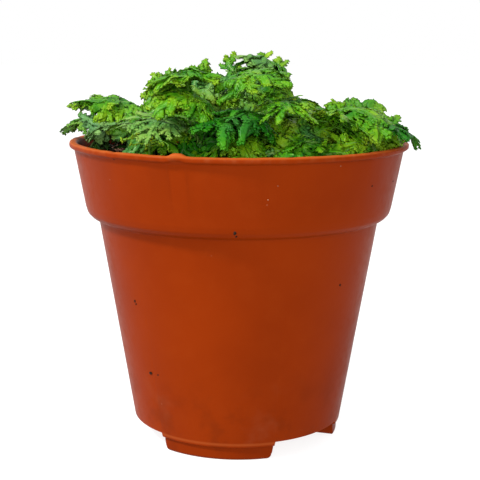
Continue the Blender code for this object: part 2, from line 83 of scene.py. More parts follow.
# How many of each wave go round the lip: the broad ones, with sizes in mm between two, and the fine ones
LIP_WAVES = (2, 3, 5, 9, 14)
LIP_WAVE_SIZES = (0.05, 0.10)
FINE_LIP_WAVES = (23, 37, 61)
FINE_LIP_WAVE = 0.035 * MM
LIP_SEED = 8
LIP_SINK = 0.06 * MM
UNEVEN_START = 91.2 * MM
UNEVEN_RISE = 1.6 * MM
BURR_DEG = -19.0
BURR_HEIGHT = 0.9 * MM
BURR_WIDTH = 2.1 * MM
BURR_BULGE = 0.35 * MM
NICK_DEG = -43.0
NICK_DEPTH = 0.35 * MM
NICK_WIDTH = 0.45 * BURR_WIDTH
# Soil grains and light bits on the pot's outside, as (degrees from the front, height in mm, size in mm)
DARK_GRAINS = (
    (-45.6, 25.3, 0.62), (-40.7, 25.4, 0.28), (-49.5, 47.9, 0.42), (-49.0, 47.0, 0.30), (46.8, 53.7, 0.36),
    (-1.1, 72.6, 0.48), (-0.6, 71.6, 0.34), (50.3, 83.8, 0.26), (68.0, 83.5, 0.26), (-43.0, 91.9, 0.42),
    (112.0, 60.0, 0.45), (150.0, 33.0, 0.38), (-128.0, 78.0, 0.42), (171.0, 81.0, 0.30),
    (-100.0, 40.0, 0.34),
)
GRAIN_SCALE = 1.2
LIGHT_GRAINS = (
    (12.3, 86.0, 0.14), (9.4, 82.1, 0.15), (33.5, 90.8, 0.14), (-47.0, 85.5, 0.12), (140.0, 70.0, 0.15),
)

# Soil
SOIL_LEVEL = 86.6 * MM
SOIL_GAP = 0.45 * MM
SOIL_BUMP = 0.7 * MM
ROOT_DEPTH = 6.0 * MM
SOIL_RING = 0.95 * MM
SOIL_RINGS = 46
SOIL_STEPS = 150
BANK_START = 34.0 * MM
BANK_END = 48.5 * MM
BANK_HEIGHT = 4.6 * MM
CRUMB_COUNT = 1500
CRUMB_REACH = 49.0 * MM
CRUMB_SIZES = (0.25 * MM, 0.95 * MM)
CRUMB_PLACE_SEED = 5
CRUMB_SHAPE_SEED = 4
ROOTLET_COUNT = 34
ROOTLETS_IN_VIEW = 20
ROOTLET_RADIUS = 0.16 * MM
ROOTLET_REACH = 44.0 * MM
ROOTLET_SEED = 12

# Fronds, as in the solids
NECK_LEAN = 0.25
TRIES = 300
# How far the last tries may move, turn, lift and roll a frond
FREE_MOVE = 3.0 * MM
FREE_TURN_DEG = 60
FREE_LIFT_DEG = 30
FREE_ROLL_DEG = 35
SAME_PLACE = 0.002 * MM
LIP_CLEARANCE = 1.2 * MM
SOIL_CLEARANCE = 2.0 * MM
# How far a blade may hang down outside the lip, and reach past it to the front and to the sides
HANG_DEPTH = 3.0 * MM
PAST_LIP_FRONT = 0.4 * MM
PAST_LIP_SIDE = 4.2 * MM
# The plant's top line as (x, height) in mm, seen from the front
TOP_LINE = (
    (-58, 104.5), (-45, 108.5), (-33, 107), (-25, 116), (-17, 116.5), (-8, 119), (6, 121.5), (14, 120),
    (18, 105.5), (42, 106.5), (46, 102), (51, 103), (53, 99), (60, 93),
)
TOP_LINE_Y = 10.0 * MM
EYE_DISTANCE = 346.0 * MM
EYE_HEIGHT = 127.0 * MM
# Fronds at the outline, as (root x and y, stem height, tip x, y and z, half width) in mm, (droop, roll) in
# degrees
OUTLINE_FRONDS = (
    (-27, 16, 12.5, -57, 24, 102.0, 8.0, 62, -8),
    (-22, -2, 10.5, -53, 2, 96.5, 10.5, 56, 16),
    (-19, -14, 10.0, -45, -20, 94.5, 10.0, 66, 10),
    (-13, -24, 9.0, -35, -36, 92.5, 10.0, 66, 0),
    (-19, 12, 16.0, -27, 13, 111.0, 7.0, 74, 0),
    (-6, 14, 17.0, -22, 14, 112.5, 10.5, 76, 20),
    (-1, 4, 18.0, -9, -9, 111.0, 10.0, 88, -12),
    (3, 14, 19.0, 6, 27, 117.0, 10.5, 46, 0),
    (-1, 1, 18.5, 17, 1, 110.5, 8.5, 80, -16),
    (12, 8, 10.0, 25, 21, 103.0, 9.0, 66, 0),
    (22, 6, 10.0, 40, 13, 102.0, 10.0, 70, -18),
    (30, 4, 7.5, 50, 4, 98.0, 8.0, 62, -8),
    (30, -10, 6.5, 56, -6, 95.0, 9.0, 50, -12),
    (22, -17, 8.0, 42, -30, 95.5, 10.0, 56, -14),
)
# Fronds that fill the mound, on a spiral. Lengths and half widths are in mm
FILL_FRONDS = 66
FILL_SEED = 3
FILL_START = 60.0
GOLDEN_ANGLE = 137.508
FILL_RADIUS = 40.0 * MM
FILL_LENGTHS = (17, 23)
FILL_HALF_WIDTHS = (8.5, 11.0)
FILL_DROOPS_DEG = (48, 78)
FILL_ROLL_DEG = 18
# A blade's neck lies this share of its length behind the place that the blade covers
NECK_SHARE = 0.45
# Blades point away from the mound's centre, give or take so many degrees. Within about so far of the
# centre they spread more, by up to the value after these
FILL_HEADINGS = (25, 8 * MM)
CENTRE_SPREAD_DEG = 110
MOUND_CENTRE = (-3.0 * MM, 6.0 * MM)
MOUND_SPREAD = 21.0 * MM
MOUND_HEIGHT = 24.0 * MM
MOUND_FOOT = 4.0 * MM
# Young fronds low down between the stems. Neck heights, lengths and half widths are in mm
YOUNG_FRONDS = 12
YOUNG_SEED = 7
YOUNG_RADII = (14.0 * MM, 42.0 * MM)
YOUNG_NECKS = (2.0, 4.5)
YOUNG_LENGTHS = (10, 14)
YOUNG_HALF_WIDTHS = (6.5, 8.0)
YOUNG_PITCHES_DEG = (38, 66)
YOUNG_DROOPS_DEG = (40, 70)
YOUNG_ROLL_DEG = 12
YOUNG_TURN_DEG = 50
FINE_SIDE_LOBES = 4
PLAIN_SIDE_LOBES = 3

# Leaves
LEAF_SPACING = 0.62 * MM
LEAF_WIDTH = 1.50 * MM
LEAF_SETTINGS = (
    ("Leaf Spacing", LEAF_SPACING), ("Leaf Width", LEAF_WIDTH), ("Side Angle", 1.10), ("Leaf Tilt", 0.04),
    ("Ruffle", 0.9), ("Ruffle Scale", 260.0), ("Blade Share", 0.60), ("Blade Lift", 0.05 * MM),
    ("Crinkle", 1.5 * MM), ("Crinkle Scale", 320.0),
)
# The leaves' greens, from the oldest at 0 to the freshest at 1
LEAF_GREENS = (
    (0.0, (0.011, 0.118, 0.001)), (0.30, (0.058, 0.208, 0.0018)), (0.60, (0.132, 0.270, 0.004)),
    (1.0, (0.255, 0.385, 0.014)),
)
SIDE_LEAF_OUTLINE = ((0.1, -0.5), (0.74, -0.56), (1.0, 0.0), (0.3, 0.56))
TIP_LEAF_OUTLINE = ((0, -0.16), (0.62, -0.36), (1.0, 0.02), (0.60, 0.34), (0, 0.16))
TIP_FAN_DEG = (-54.0, 0.0, 54.0)
LEAF_DROOP = 0.10
BRANCH_STEP = 1.1 * MM
BRANCH_CLEARANCE = 0.8 * MM
FORKING_WIDTH = 3.0 * MM
FORK_SPREAD_DEG = (42, 62)
BRANCH_TWIST_DEG = 46
BETWEEN_SHARE = 0.5
BETWEEN_LIFTS = (-0.7, 0.7)

# Sprays on a spiral, which fill the mound between the solids' fronds. The shares are of the mound's
# height, the lengths and half widths are in mm, and no spray stands further forward than the last value
SPIRAL_SPRAYS = {
    "top_sprays": {
        "count": 46, "seed": 41, "shares": (0.85, 1.12), "lengths": (11, 15), "half_widths": (6.5, 8.5),
        "first_number": 500, "front": -10 * MM,
    },
    "low_sprays": {
        "count": 40, "seed": 29, "shares": (0.35, 0.85), "lengths": (12, 17), "half_widths": (7.0, 9.0),
        "first_number": 600, "front": -17 * MM,
    },
}
SPIRAL_START_DEG = 17.0
SPRAY_HEADINGS = (40, 10 * MM)
SPRAY_DROOPS_DEG = (50, 84)
SPRAY_FALLS_DEG = (2, 24)
SPRAY_ROLL_DEG = 24
# To the right and front of this corner, the sprays stand as in a mound at least this high
FULL_CORNER = (-8 * MM, 5 * MM)
FULL_HEIGHT = 8.5 * MM
# To the left of this line, and to the left and front of this corner, the soil stays open
OPEN_LEFT = -27 * MM
OPEN_CORNER = (-9 * MM, -6 * MM)
SPRAY_RADIUS = 44.0 * MM
SPRAYS_A_PIECE = 14
FROND_SEED = 100
SPRAY_SEED = 300

# The photograph's viewpoint, with the floor and the lights that suit it
CAMERA_PLACE = (0.5 * MM, -346.4 * MM, 126.8 * MM)
CAMERA_DOWN_DEG = 10.64
CAMERA_ROLL_DEG = 0.35
LENS = 82.5
SENSOR = 36.0
FLOOR_RADIUS = 4.0
FLOOR_GLOW = 0.86
LIT_POINT = (0.0, 0.0, 0.07)
# Each light's name with its place in metres, its width and its power
LIGHTS = (("key", (-0.82, -0.49, 1.09), 0.20, 29.0), ("fill", (0.0, -1.35, 0.43), 0.9, 13.5))

# Sprays that face the front, placed one by one. Each is the x, y and z of the blade's middle, which way its
# tip points as seen from the front (0 right, 90 up), its length, half width and droop, how fresh its
# green is, from about -1 to 1, and how bluish, from 0 to 1. Places and sizes are in mm, angles in degrees
# The last number of each is a painted bluish sheen, and a spray less fresh than -0.5 gets painted shade all
# over
FACING_SPRAYS = (
    # left, in front of the open soil
    (-39.5, -18, 101, 202, 13, 5, 34, 0.2, 0.75),
    (-28.5, -31, 98.5, 252, 12, 5, 40, 0.5, 0.2),
    (-22.5, -30, 99, 264, 12, 5, 36, 0.4, 0.3),
    (-28.5, -24, 101, 212, 18, 6, 36, 0.2, 0.1),
    (-22, -22, 103, 182, 15, 5.5, 36, 1.0, 0.0),
    (-11.5, -23, 101.5, 352, 18, 6, 40, 0.5, 0.0),
    (-13, -33, 95, 282, 11, 6, 30, -1.0, 0.0),
    (-5, -35, 95.5, 258, 12, 6, 30, -1.0, 0.0),
    # left and middle of the mound
    (-24, -8, 107, 140, 15, 6, 24, -0.2, 0.0),
    (-23.5, 0, 111, 88, 10, 4, 18, -0.2, 0.0),
    (-13.5, 0, 113, 100, 13, 5.0, 20, -0.5, 0.0),
    (-11.5, -15, 107, 248, 15, 7, 32, -0.3, 0.15),
    (-3.5, -11, 109.5, 62, 13, 6, 24, -0.4, 0.1),
    (2.5, -13, 110, 238, 14, 6.5, 30, -0.4, 0.0),
    (4, -19, 104, 222, 14, 6.5, 32, 0.5, 0.3),
    (-1.5, -27, 100.5, 302, 14, 6.5, 34, 0.2, 0.0),
    # the peak
    (-2.5, 2, 115.5, 112, 9, 3.4, 14, -0.2, 0.0),
    (5, 3, 117.5, 96, 9, 3.2, 12, -0.2, 0.0),
    (12.5, 2, 115.5, 84, 11, 3.6, 14, -0.1, 0.1),
    (9.5, -5, 111.5, 350, 13, 6, 26, 0.6, 0.0),
    (11, -8, 107.5, 328, 13, 6, 26, -0.3, 0.0),
    (13.5, 3, 110, 8, 9, 4.5, 24, -0.5, 0.0),
    # right
    (15.5, -8, 103, 18, 15, 5, 26, 0.0, 0.0),
    (17, -22, 100, 264, 13, 5.5, 24, 0.5, 0.0),
    (25, -25, 99, 24, 17, 5.5, 34, 0.7, 0.0),
    (29.5, -8, 102.5, 40, 14, 6, 26, -0.2, 0.0),
    (36.5, -3, 102.5, 78, 14, 7.5, 22, -0.2, 0.1),
    (46.5, 0, 101, 48, 11, 4.5, 18, -0.1, 0.0),
    (30.5, -31, 96.5, 188, 16, 5.5, 36, 1.1, 0.0),
    (39.5, -24, 97, 12, 15, 6, 34, 0.9, 0.0),
    (22, -17, 101, 206, 14, 5.5, 30, -0.2, 0.1),
    (33, -19, 99.5, 196, 15, 6, 30, 0.5, 0.0),
    (42, -11, 100, 350, 14, 6, 30, 0.3, 0.0),
    # over the front of the lip's inside
    (8.5, -31, 97.5, 168, 15, 6.5, 36, 0.6, 0.0),
    (15, -36, 96, 202, 15, 5.5, 30, 0.5, 0.0),
    (5, -40, 94.5, 190, 9, 4, 24, 0.0, 0.5),
    (17, -29, 98.5, 168, 14, 5.5, 30, -0.4, 0.0),
    (27, -37, 94.5, 4, 11, 4.5, 28, 0.6, 0.0),
    (35.5, -32, 95, 8, 12, 4.5, 30, 0.5, 0.0),
    (45, -20, 96.5, 16, 11, 4.5, 30, 0.3, 0.0),
    (-9.5, -31, 98, 250, 12, 5.5, 30, -0.8, 0.0),
    (0.5, -35, 96.5, 292, 12, 5.5, 30, -0.6, 0.0),
    (-16.5, -34, 94.5, 262, 9, 4.5, 26, -0.9, 0.0),
)
# Which way their upper faces look: to the side where they stand by the lip, along Y, and up
SPRAY_FACE = (0.35, -0.80, 0.52)
SPRAY_LOBE_MM = 6.0
# Where a wide lobe forks, how long each fork is and how broad, as shares of the lobe
FORKS = ((0.14, 0.44, 0.80), (0.30, 0.48, 0.84), (0.48, 0.42, 0.80), (0.66, 0.34, 0.74))
TOP_MARGIN = 3.4 * MM
FACING_TOP_MARGIN = 0.6 * MM
FIRST_FACING = 700
# Fronds of the solids by number: how much painted bluish sheen some get, and which get painted shade all
# over
SHEEN_FRONDS = {1: 0.25, 2: 0.8, 3: 0.5}
SHADED_FRONDS = (12, 146, 159)
# Their green, and the freshness below which a frond gets painted shade all over
DARK_FRESHNESS = -1.0
SHADED_BELOW = -0.5
# The young spray by the lip, given like the fronds at the outline
SEEDLING = (-25.5, -38.5, 7.2, -25.0, -42.8, 98.6, 6.0, 44, 0)
SEEDLING_SEED = 760
SEEDLING_FRESHNESS = 4.0
# Fronds fresher than this get no painted shade
NEVER_DARK_ABOVE = 2.0


# Small helpers

def link_object(name, mesh):
    made = bpy.data.objects.new(name, mesh)
    bpy.context.scene.collection.objects.link(made)
    return made


def plain_mesh(source, name):
    """The evaluated object as a plain mesh object. The source is removed."""
    bpy.context.view_layer.update()
    graph = bpy.context.evaluated_depsgraph_get()
    mesh = bpy.data.meshes.new_from_object(source.evaluated_get(graph))
    mesh.transform(source.matrix_world)
    bpy.data.objects.remove(source)
    mesh.name = name
    return link_object(name, mesh)


def add_node(tree, kind, inputs=None, **settings):
    """A node with its settings, and its inputs set to values or linked to sockets."""
    made = tree.nodes.new(kind)
    for key, value in settings.items():
        setattr(made, key, value)
    for key, value in (inputs or {}).items():
        if isinstance(value, bpy.types.NodeSocket):
            tree.links.new(value, made.inputs[key])
        else:
            made.inputs[key].default_value = value
    return made


def made_by(tree, kind, inputs=None, **settings):
    """The first thing that a new node gives."""
    return add_node(tree, kind, inputs, **settings).outputs[0]


def calculated(tree, operation, *values):
    return made_by(tree, "ShaderNodeMath", dict(enumerate(values)), operation=operation)


def plus(tree, first, second):
    return calculated(tree, "ADD", first, second)


def times(tree, first, second):
    return calculated(tree, "MULTIPLY", first, second)


def vector_node(tree, operation, *values):
    return made_by(tree, "ShaderNodeVectorMath", dict(enumerate(values)), operation=operation)


def scaled(tree, vector, factor):
    return made_by(tree, "ShaderNodeVectorMath", {"Vector": vector, "Scale": factor}, operation="SCALE")


def mesh_of(name, shape):
    """The mesh of a shape that is ready. The shape is freed."""
    mesh = bpy.data.meshes.new(name)
    shape.to_mesh(mesh)
    shape.free()
    return mesh


def smooth_faces(mesh):
    for face in mesh.polygons:
        face.use_smooth = True


def shade_smooth(piece, sharp_deg):
    """Smooth faces, with edges sharper than the angle kept sharp."""
    shape = bmesh.new()
    shape.from_mesh(piece.data)
    for face in shape.faces:
        face.smooth = True
    for edge in shape.edges:
        edge.smooth = not (edge.is_manifold and edge.calc_face_angle() > math.radians(sharp_deg))
    shape.to_mesh(piece.data)
    shape.free()


def drop_empty_slots(mesh):
    """Removes the material slots that hold nothing. Each face keeps its material."""
    kept = [i for i, material in enumerate(mesh.materials) if material]
    numbers = {old: new for new, old in enumerate(kept)}
    used = [numbers.get(face.material_index, 0) for face in mesh.polygons]
    materials = [mesh.materials[i] for i in kept]
    mesh.materials.clear()
    for material in materials:
        mesh.materials.append(material)
    mesh.polygons.foreach_set("material_index", used)


def give_finish(piece, finish):
    piece.data.materials.clear()
    piece.data.materials.append(finish)


def finish_piece(piece, slot, *nodes):
    """The piece moves with the pot and stands for the named solids. The slot is not used."""
    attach(piece, BODY)
    if nodes:
        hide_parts(*nodes)
    return piece


# Shapes that the solids follow too

def soil_height(x, y):
    waves = math.sin(x * 190 + 1.3) * math.cos(y * 160) + 0.7 * math.sin(x * 90 - y * 240 + 0.6)
    return SOIL_LEVEL + SOIL_BUMP * waves


def pot_inside():
    return [
        (0.0, FLOOR_TOP),
        (BODY_FOOT_RADIUS - 2.4 * WALL, FLOOR_TOP),
        (BODY_FOOT_RADIUS - WALL, FLOOR_TOP + 1.2 * MM),
        (BODY_TOP_RADIUS - WALL, SHOULDER_FOOT + 0.7 * MM),
        (BAND_FOOT_RADIUS - 1.9 * MM, SHOULDER_TOP - 1.2 * MM),
        (BAND_TOP_RADIUS - WALL, POT_HEIGHT - 0.6 * MM),
    ]


def pot_inner_radius(z):
    radii, heights = np.array(pot_inside()[2:6]).T
    return np.interp(z, heights, radii)


class Frond:
    """One spray: a stem that rises out of the soil, and a flat blade that arches from the stem's neck.

    A point of the blade is given by s, along the rib from the neck, and t, out to the side."""

    RIB_STEPS = 24

    def __init__(self, root, neck, heading, sweep, length, half_width, pitch, droop, roll, seed):
        self.root = Vector((*root, soil_height(*root)))
        self.heading, self.sweep = heading, sweep
        self.length, self.half_width = length, half_width
        self.pitch, self.droop, self.roll = pitch, droop, roll
        draw = random.Random(seed)
        self.twist = math.radians(draw.uniform(-16, 16))
        self.cup = math.radians(draw.uniform(18, 42)) / half_width
        self.wave = draw.uniform(0.5, 0.9) * MM
        self.wave_start = draw.uniform(0, math.tau)
        self.seed = seed
        self.fresh, self.painted_sheen = None, 0.0
        self.neck = Vector(neck_of(root, neck, heading))
        step = length / self.RIB_STEPS
        steps = self.axes((np.arange(self.RIB_STEPS) + 0.5) * step)[0] * step
        self.line = np.array(self.neck) + np.vstack([np.zeros(3), np.cumsum(steps, axis=0)])
        self.stations = np.arange(self.RIB_STEPS + 1) * step

    def axes(self, s):
        """Unit vectors at each s: along the rib, to the blade's side, and out of its upper face."""
        share = np.asarray(s, dtype=float) / self.length
        up = self.pitch - self.droop * share
        way = self.heading + self.sweep * share
        roll = self.roll + self.twist * share
        along = np.stack([np.cos(up) * np.cos(way), np.cos(up) * np.sin(way), np.sin(up)], axis=-1)
        level = np.stack([-np.sin(way), np.cos(way), np.zeros_like(way)], axis=-1)
        side = level * np.cos(roll)[..., None] + np.cross(along, level) * np.sin(roll)[..., None]
        return along, side, np.cross(along, side)

    def rib(self, s):
        inside = np.clip(s, 0.0, self.length)
        place = np.stack([np.interp(inside, self.stations, self.line[:, k]) for k in range(3)], axis=-1)
        return place + self.axes(inside)[0] * (s - inside)[..., None]

    def surface(self, s, t):
        """Points of the blade's middle surface, and its upper direction there."""
        _, side, above = self.axes(s)
        turn = self.cup * t
        ripple = np.sin(15 * s / self.length + self.wave_start + 2 * (t > 0))
        lift = self.wave * (t / self.half_width) ** 2 * ripple - (1 - np.cos(turn)) / self.cup
        points = self.rib(s) + side * (np.sin(turn) / self.cup)[..., None] + above * lift[..., None]
        return points, above * np.cos(turn)[..., None] + side * np.sin(turn)[..., None]

    def stem_line(self):
        """Up through the soil, over in a smooth bend to the neck, and on into the blade."""
        start = self.root + Vector((0, 0, 1.0 * MM))
        bend = start + Vector((0, 0, 0.6 * (self.neck - start).length))
        middle = start * 0.25 + bend * 0.5 + self.neck * 0.25
        end = Vector(self.rib(np.array([0.18 * self.length]))[0])
        return [self.root - Vector((0, 0, ROOT_DEPTH)), start, middle, self.neck, end]


def neck_of(root, neck, heading):
    x, y = root
    lean = NECK_LEAN * neck
    return x + lean * math.cos(heading), y + lean * math.sin(heading), soil_height(x, y) + neck


def behind(x, y, distance, heading):
    """The place that far back from another, against the heading."""
    return x - distance * math.cos(heading), y - distance * math.sin(heading)


def root_under(neck_x, neck_y, neck, heading):
    """Where the stem stands whose neck is that high and leans along the heading."""
    return behind(neck_x, neck_y, NECK_LEAN * neck, heading)


def lobes(length, half_width, per_side, seed):
    """A blade's side branchlets from neck to tip, as (s, side, length, angle, width), then the end one."""
    draw = random.Random(seed + 1000)
    spacing = 0.76 * length / per_side
    found = []
    for i in range(per_side):
        for side, shift in ((1, 0.42), (-1, 0.86)):
            s = spacing * (i + shift)
            share = s / length
            angle = math.radians(64 - 26 * share + draw.uniform(-3, 3))
            reach = half_width * math.sin(math.pi * (0.22 + 0.66 * share)) ** 0.75
            reach *= draw.uniform(0.86, 1.10)
            found.append((s, side, reach / math.sin(angle), angle, 0.86 * spacing * math.sin(angle)))
    tip = 0.82 * length
    found.append((tip, 0, length - tip, 0.0, 0.62 * spacing))
    return found


def clear_of_pot(points):
    """Above the soil, above the lip where it passes over it, and not far out past the pot."""
    out = np.hypot(points[:, 0], points[:, 1])
    height = points[:, 2]
    wall = pot_inner_radius(height)
    low = height < POT_HEIGHT + LIP_CLEARANCE
    hits_wall = low & (out > wall - LIP_CLEARANCE) & (out < LIP_RADIUS + LIP_CLEARANCE)
    hangs = low & (out > LIP_RADIUS) & (height < POT_HEIGHT - HANG_DEPTH)
    under = (height < SOIL_LEVEL + SOIL_CLEARANCE) | hangs
    wide = abs(points[:, 1]) > LIP_RADIUS + PAST_LIP_FRONT
    wide |= abs(points[:, 0]) > LIP_RADIUS + PAST_LIP_SIDE
    return not (hits_wall | under | wide).any()


def under_top_line(points, margin=0.0):
    """Whether a viewer in front sees all of the points under the plant's top line."""
    x, z = np.array(TOP_LINE).T * MM
    z = z - margin
    nearness = (points[:, 1] + EYE_DISTANCE) / (TOP_LINE_Y + EYE_DISTANCE)
    limit = EYE_HEIGHT - (EYE_HEIGHT - np.interp(points[:, 0] / nearness, x, z)) * nearness
    return (points[:, 2] < limit).all()


def outline_rows(rows=OUTLINE_FRONDS, first_number=0):
    """Fronds given by where they stand and where their tips reach."""
    for number, row in enumerate(rows, first_number):
        x, y, neck, tip_x, tip_y, tip_z, half_width, droop, roll = row
        root = (x * MM, y * MM)
        heading = math.atan2(tip_y - y, tip_x - x)
        chord = Vector((tip_x, tip_y, tip_z)) * MM - Vector(neck_of(root, neck * MM, heading))
        bend = math.radians(droop)
        length = chord.length * (bend / 2) / math.sin(bend / 2)
        pitch = math.asin(chord.z / chord.length) + bend / 2
        roll = math.radians(roll)
        yield root, neck * MM, heading, length, half_width * MM, pitch, bend, roll, FINE_SIDE_LOBES, number


def mound_height(x, y):
    """How high the leaves reach over the soil."""
    off = math.hypot(x - MOUND_CENTRE[0], y - MOUND_CENTRE[1])
    return MOUND_FOOT + MOUND_HEIGHT * math.exp(-0.5 * (off / MOUND_SPREAD) ** 2)


def outwards_heading(x, y, draw, spread_deg, reach):
    """Away from the mound's centre, give or take the spread, and nearly any way close to the centre."""
    off = math.hypot(x - MOUND_CENTRE[0], y - MOUND_CENTRE[1])
    heading = math.atan2(y - MOUND_CENTRE[1], x - MOUND_CENTRE[0])
    spread = spread_deg + CENTRE_SPREAD_DEG * math.exp(-off / reach)
    return heading + math.radians(spread) * draw.uniform(-1, 1)


def fill_rows():
    draw = random.Random(FILL_SEED)
    for i in reversed(range(FILL_FRONDS)):
        radius = FILL_RADIUS * math.sqrt((i + 0.5) / FILL_FRONDS)
        angle = math.radians(GOLDEN_ANGLE * i + FILL_START)
        x, y = radius * math.cos(angle), radius * math.sin(angle)
        heading = outwards_heading(x, y, draw, *FILL_HEADINGS)
        length = draw.uniform(*FILL_LENGTHS) * MM
        neck_x, neck_y = behind(x, y, NECK_SHARE * length, heading)
        neck = mound_height(neck_x, neck_y) * draw.uniform(0.8, 1.0)
        root = root_under(neck_x, neck_y, neck, heading)
        fall = math.atan2(mound_height(neck_x, neck_y) - mound_height(x, y), NECK_SHARE * length)
        droop = math.radians(draw.uniform(*FILL_DROOPS_DEG))
        pitch = droop / 2 - 0.8 * fall + math.radians(draw.uniform(-8, 8))
        roll = math.radians(draw.uniform(-FILL_ROLL_DEG, FILL_ROLL_DEG))
        half_width = draw.uniform(*FILL_HALF_WIDTHS) * MM
        yield root, neck, heading, length, half_width, pitch, droop, roll, PLAIN_SIDE_LOBES, 100 + i


def young_rows():
    draw = random.Random(YOUNG_SEED)
    inner, outer = YOUNG_RADII
    for i in range(YOUNG_FRONDS):
        share = (i + 0.5) / YOUNG_FRONDS
        radius = inner + (outer - inner) * math.sqrt(draw.random())
        angle = math.radians(-90 + 150 * math.copysign(share ** 1.3, (i % 2) - 0.5) + draw.uniform(-8, 8))
        yield (
            (radius * math.cos(angle), radius * math.sin(angle)), draw.uniform(*YOUNG_NECKS) * MM,
            angle + math.radians(draw.uniform(-YOUNG_TURN_DEG, YOUNG_TURN_DEG)),
            draw.uniform(*YOUNG_LENGTHS) * MM, draw.uniform(*YOUNG_HALF_WIDTHS) * MM,
            math.radians(draw.uniform(*YOUNG_PITCHES_DEG)), math.radians(draw.uniform(*YOUNG_DROOPS_DEG)),
            math.radians(draw.uniform(-YOUNG_ROLL_DEG, YOUNG_ROLL_DEG)), PLAIN_SIDE_LOBES, 200 + i,
        )


def variants(row):
    """What makes each frond that a row may give: its own, then ever freer changes of it."""
    root, neck, heading, length, half_width, pitch, droop, roll, _, seed = row
    draw = random.Random(seed + 500)
    sweep = math.radians(draw.uniform(-24, 24))
    for i in range(TRIES):
        free = i / TRIES
        x = root[0] + FREE_MOVE * free * draw.uniform(-1, 1)
        y = root[1] + FREE_MOVE * free * draw.uniform(-1, 1)
        turn = math.radians(FREE_TURN_DEG) * free * draw.uniform(-1, 1)
        lift = math.radians(FREE_LIFT_DEG) * free * draw.uniform(-1, 1)
        yield (
            (x, y), neck * (1 + free * draw.uniform(-0.5, 1.0)), heading - sweep / 2 + turn, sweep,
            length, half_width, pitch + lift, droop + lift * draw.uniform(-0.5, 1.5),
            roll + math.radians(FREE_ROLL_DEG) * free * draw.uniform(-1, 1), seed,
        )


# Which fronds the solids hold

def stem_feet():
    """The node and the middle of each stem's lowest ring, for all frond solids."""
    feet = []
    for name, node in sorted(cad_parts.items()):
        if not name.startswith("frond_"):
            continue
        places = np.array([v.co for v in node.data.vertices])
        low = places[places[:, 2] < SOIL_LEVEL - 4 * MM]
        _, first = np.unique(low.round(5), axis=0, return_index=True)
        low = low[first]
        while len(low):
            near = np.hypot(low[:, 0] - low[0, 0], low[:, 1] - low[0, 1]) < 2 * MM
            feet.append((name, low[near].mean(axis=0)))
            low = low[~near]
    return feet


def placed_fronds():
    """Each frond of the solids as (node, frond, side lobes), found by where its stem stands."""
    feet = stem_feet()
    found = []
    for row in (*outline_rows(), *fill_rows(), *young_rows()):
        tries = list(variants(row))
        roots = np.array([made[0] for made in tries])
        best = None
        for name, foot in feet:
            off = np.hypot(*(roots - foot[:2]).T)
            nearest = int(off.argmin())
            if best is None or off[nearest] < best[0]:
                best = (off[nearest], name, nearest)
        off, name, nearest = best
        if off < SAME_PLACE:
            found.append((name, Frond(*tries[nearest]), row[8]))
    return found


# Branchlets, as lines that leaves grow on

class Branch:
    """One branchlet's line: its points, the way up at each, half of its leafy width, its age from 0 at the
    base to 1 at the tip, and the radius of its stalk."""

    def __init__(self, points, up, half, age, girth, tint):
        self.points, self.up, self.half, self.age, self.girth = points, up, half, age, girth
        self.tint, self.painted_sheen = tint, 0.0
        # How far each point lies under the mound's top, from 0 to 1, which the finishes turn into painted
        # shade
        x, y, z = points.T
        off = np.hypot(x - MOUND_CENTRE[0], y - MOUND_CENTRE[1])
        surface = SOIL_LEVEL + MOUND_FOOT + 0.9 * MOUND_HEIGHT * np.exp(-0.5 * (off / MOUND_SPREAD) ** 2)
        self.deep = np.clip((surface - z) / (9 * MM), 0.0, 1.0)


def along_blade(frond, s, t, half, age, girth, tint, lift=0.0):
    points, up = frond.surface(s, t)
    return Branch(points + up * np.asarray(lift)[..., None], up, half, age, girth, tint)


def rounded(share, start):
    """A branchlet's width from base to tip, as a share of its widest: narrow, full, then round."""
    rise = start + (1 - start) * np.minimum(share / 0.3, 1.0) ** 0.8
    fall = np.sqrt(np.clip(1 - ((share - 0.70) / 0.36) ** 2, 0.25, 1.0))
    return rise * np.where(share > 0.70, fall, 1.0)


def twisted(branch, end):
    """Turns the branchlet's leaves about its own line, from nothing at its base to an angle at its tip."""
    ahead = np.gradient(branch.points, axis=0)
    ahead /= np.linalg.norm(ahead, axis=1)[:, None]
    side = np.cross(branch.up, ahead)
    angle = np.linspace(0.0, end, len(branch.points))[:, None]
    branch.up = branch.up * np.cos(angle) + side * np.sin(angle)
    return branch


def side_lobe(frond, draw, s0, side, reach, angle, width, tint, forks, lift):
    """The branchlets of one lobe: a middle one, and where it forks shorter ones to both sides of it."""
    curl = draw.uniform(-1.8, 1.0) * MM
    sweep = draw.uniform(-0.34, 0.34) / reach
    half = 0.74 * width
    paths = [(0.0, 0.0, 0.94, half * (0.72 if forks else 0.92))]
    if forks:
        hand = draw.choice((-1, 1))
        for start, stretch, share in FORKS:
            spread = hand * math.radians(draw.uniform(*FORK_SPREAD_DEG))
            paths.append((start, spread, stretch * draw.uniform(0.85, 1.15), half * share))
            hand = -hand
    found = []
    for start, spread, stretch, wide in paths:
        own_reach = reach * stretch
        u = np.linspace(0.0, own_reach, max(4, int(own_reach / BRANCH_STEP)))
        a = start * reach + u * math.cos(spread)
        v = u * math.sin(spread) * (1 - 0.25 * u / own_reach) + sweep * a ** 2
        share = u / own_reach
        main = np.minimum(a / reach, 1.0)
        s = s0 + a * math.cos(angle) + v * math.sin(angle)
        t = (a * math.sin(angle) - v * math.cos(angle)) * side if side else v
        branch = along_blade(
            frond, s, t, wide * rounded(share, 0.7), 0.25 + 0.75 * main * (0.4 + 0.6 * share),
            (0.20 - 0.10 * share) * MM, tint + draw.uniform(-0.5, 0.5),
            lift=curl * main ** 2 + (lift + draw.uniform(-0.25, 0.25) * MM) * np.minimum(share * 3, 1.0),
        )
        twist = draw.uniform(-BRANCH_TWIST_DEG, BRANCH_TWIST_DEG)
        found.append(twisted(branch, math.radians(twist)))
    return found


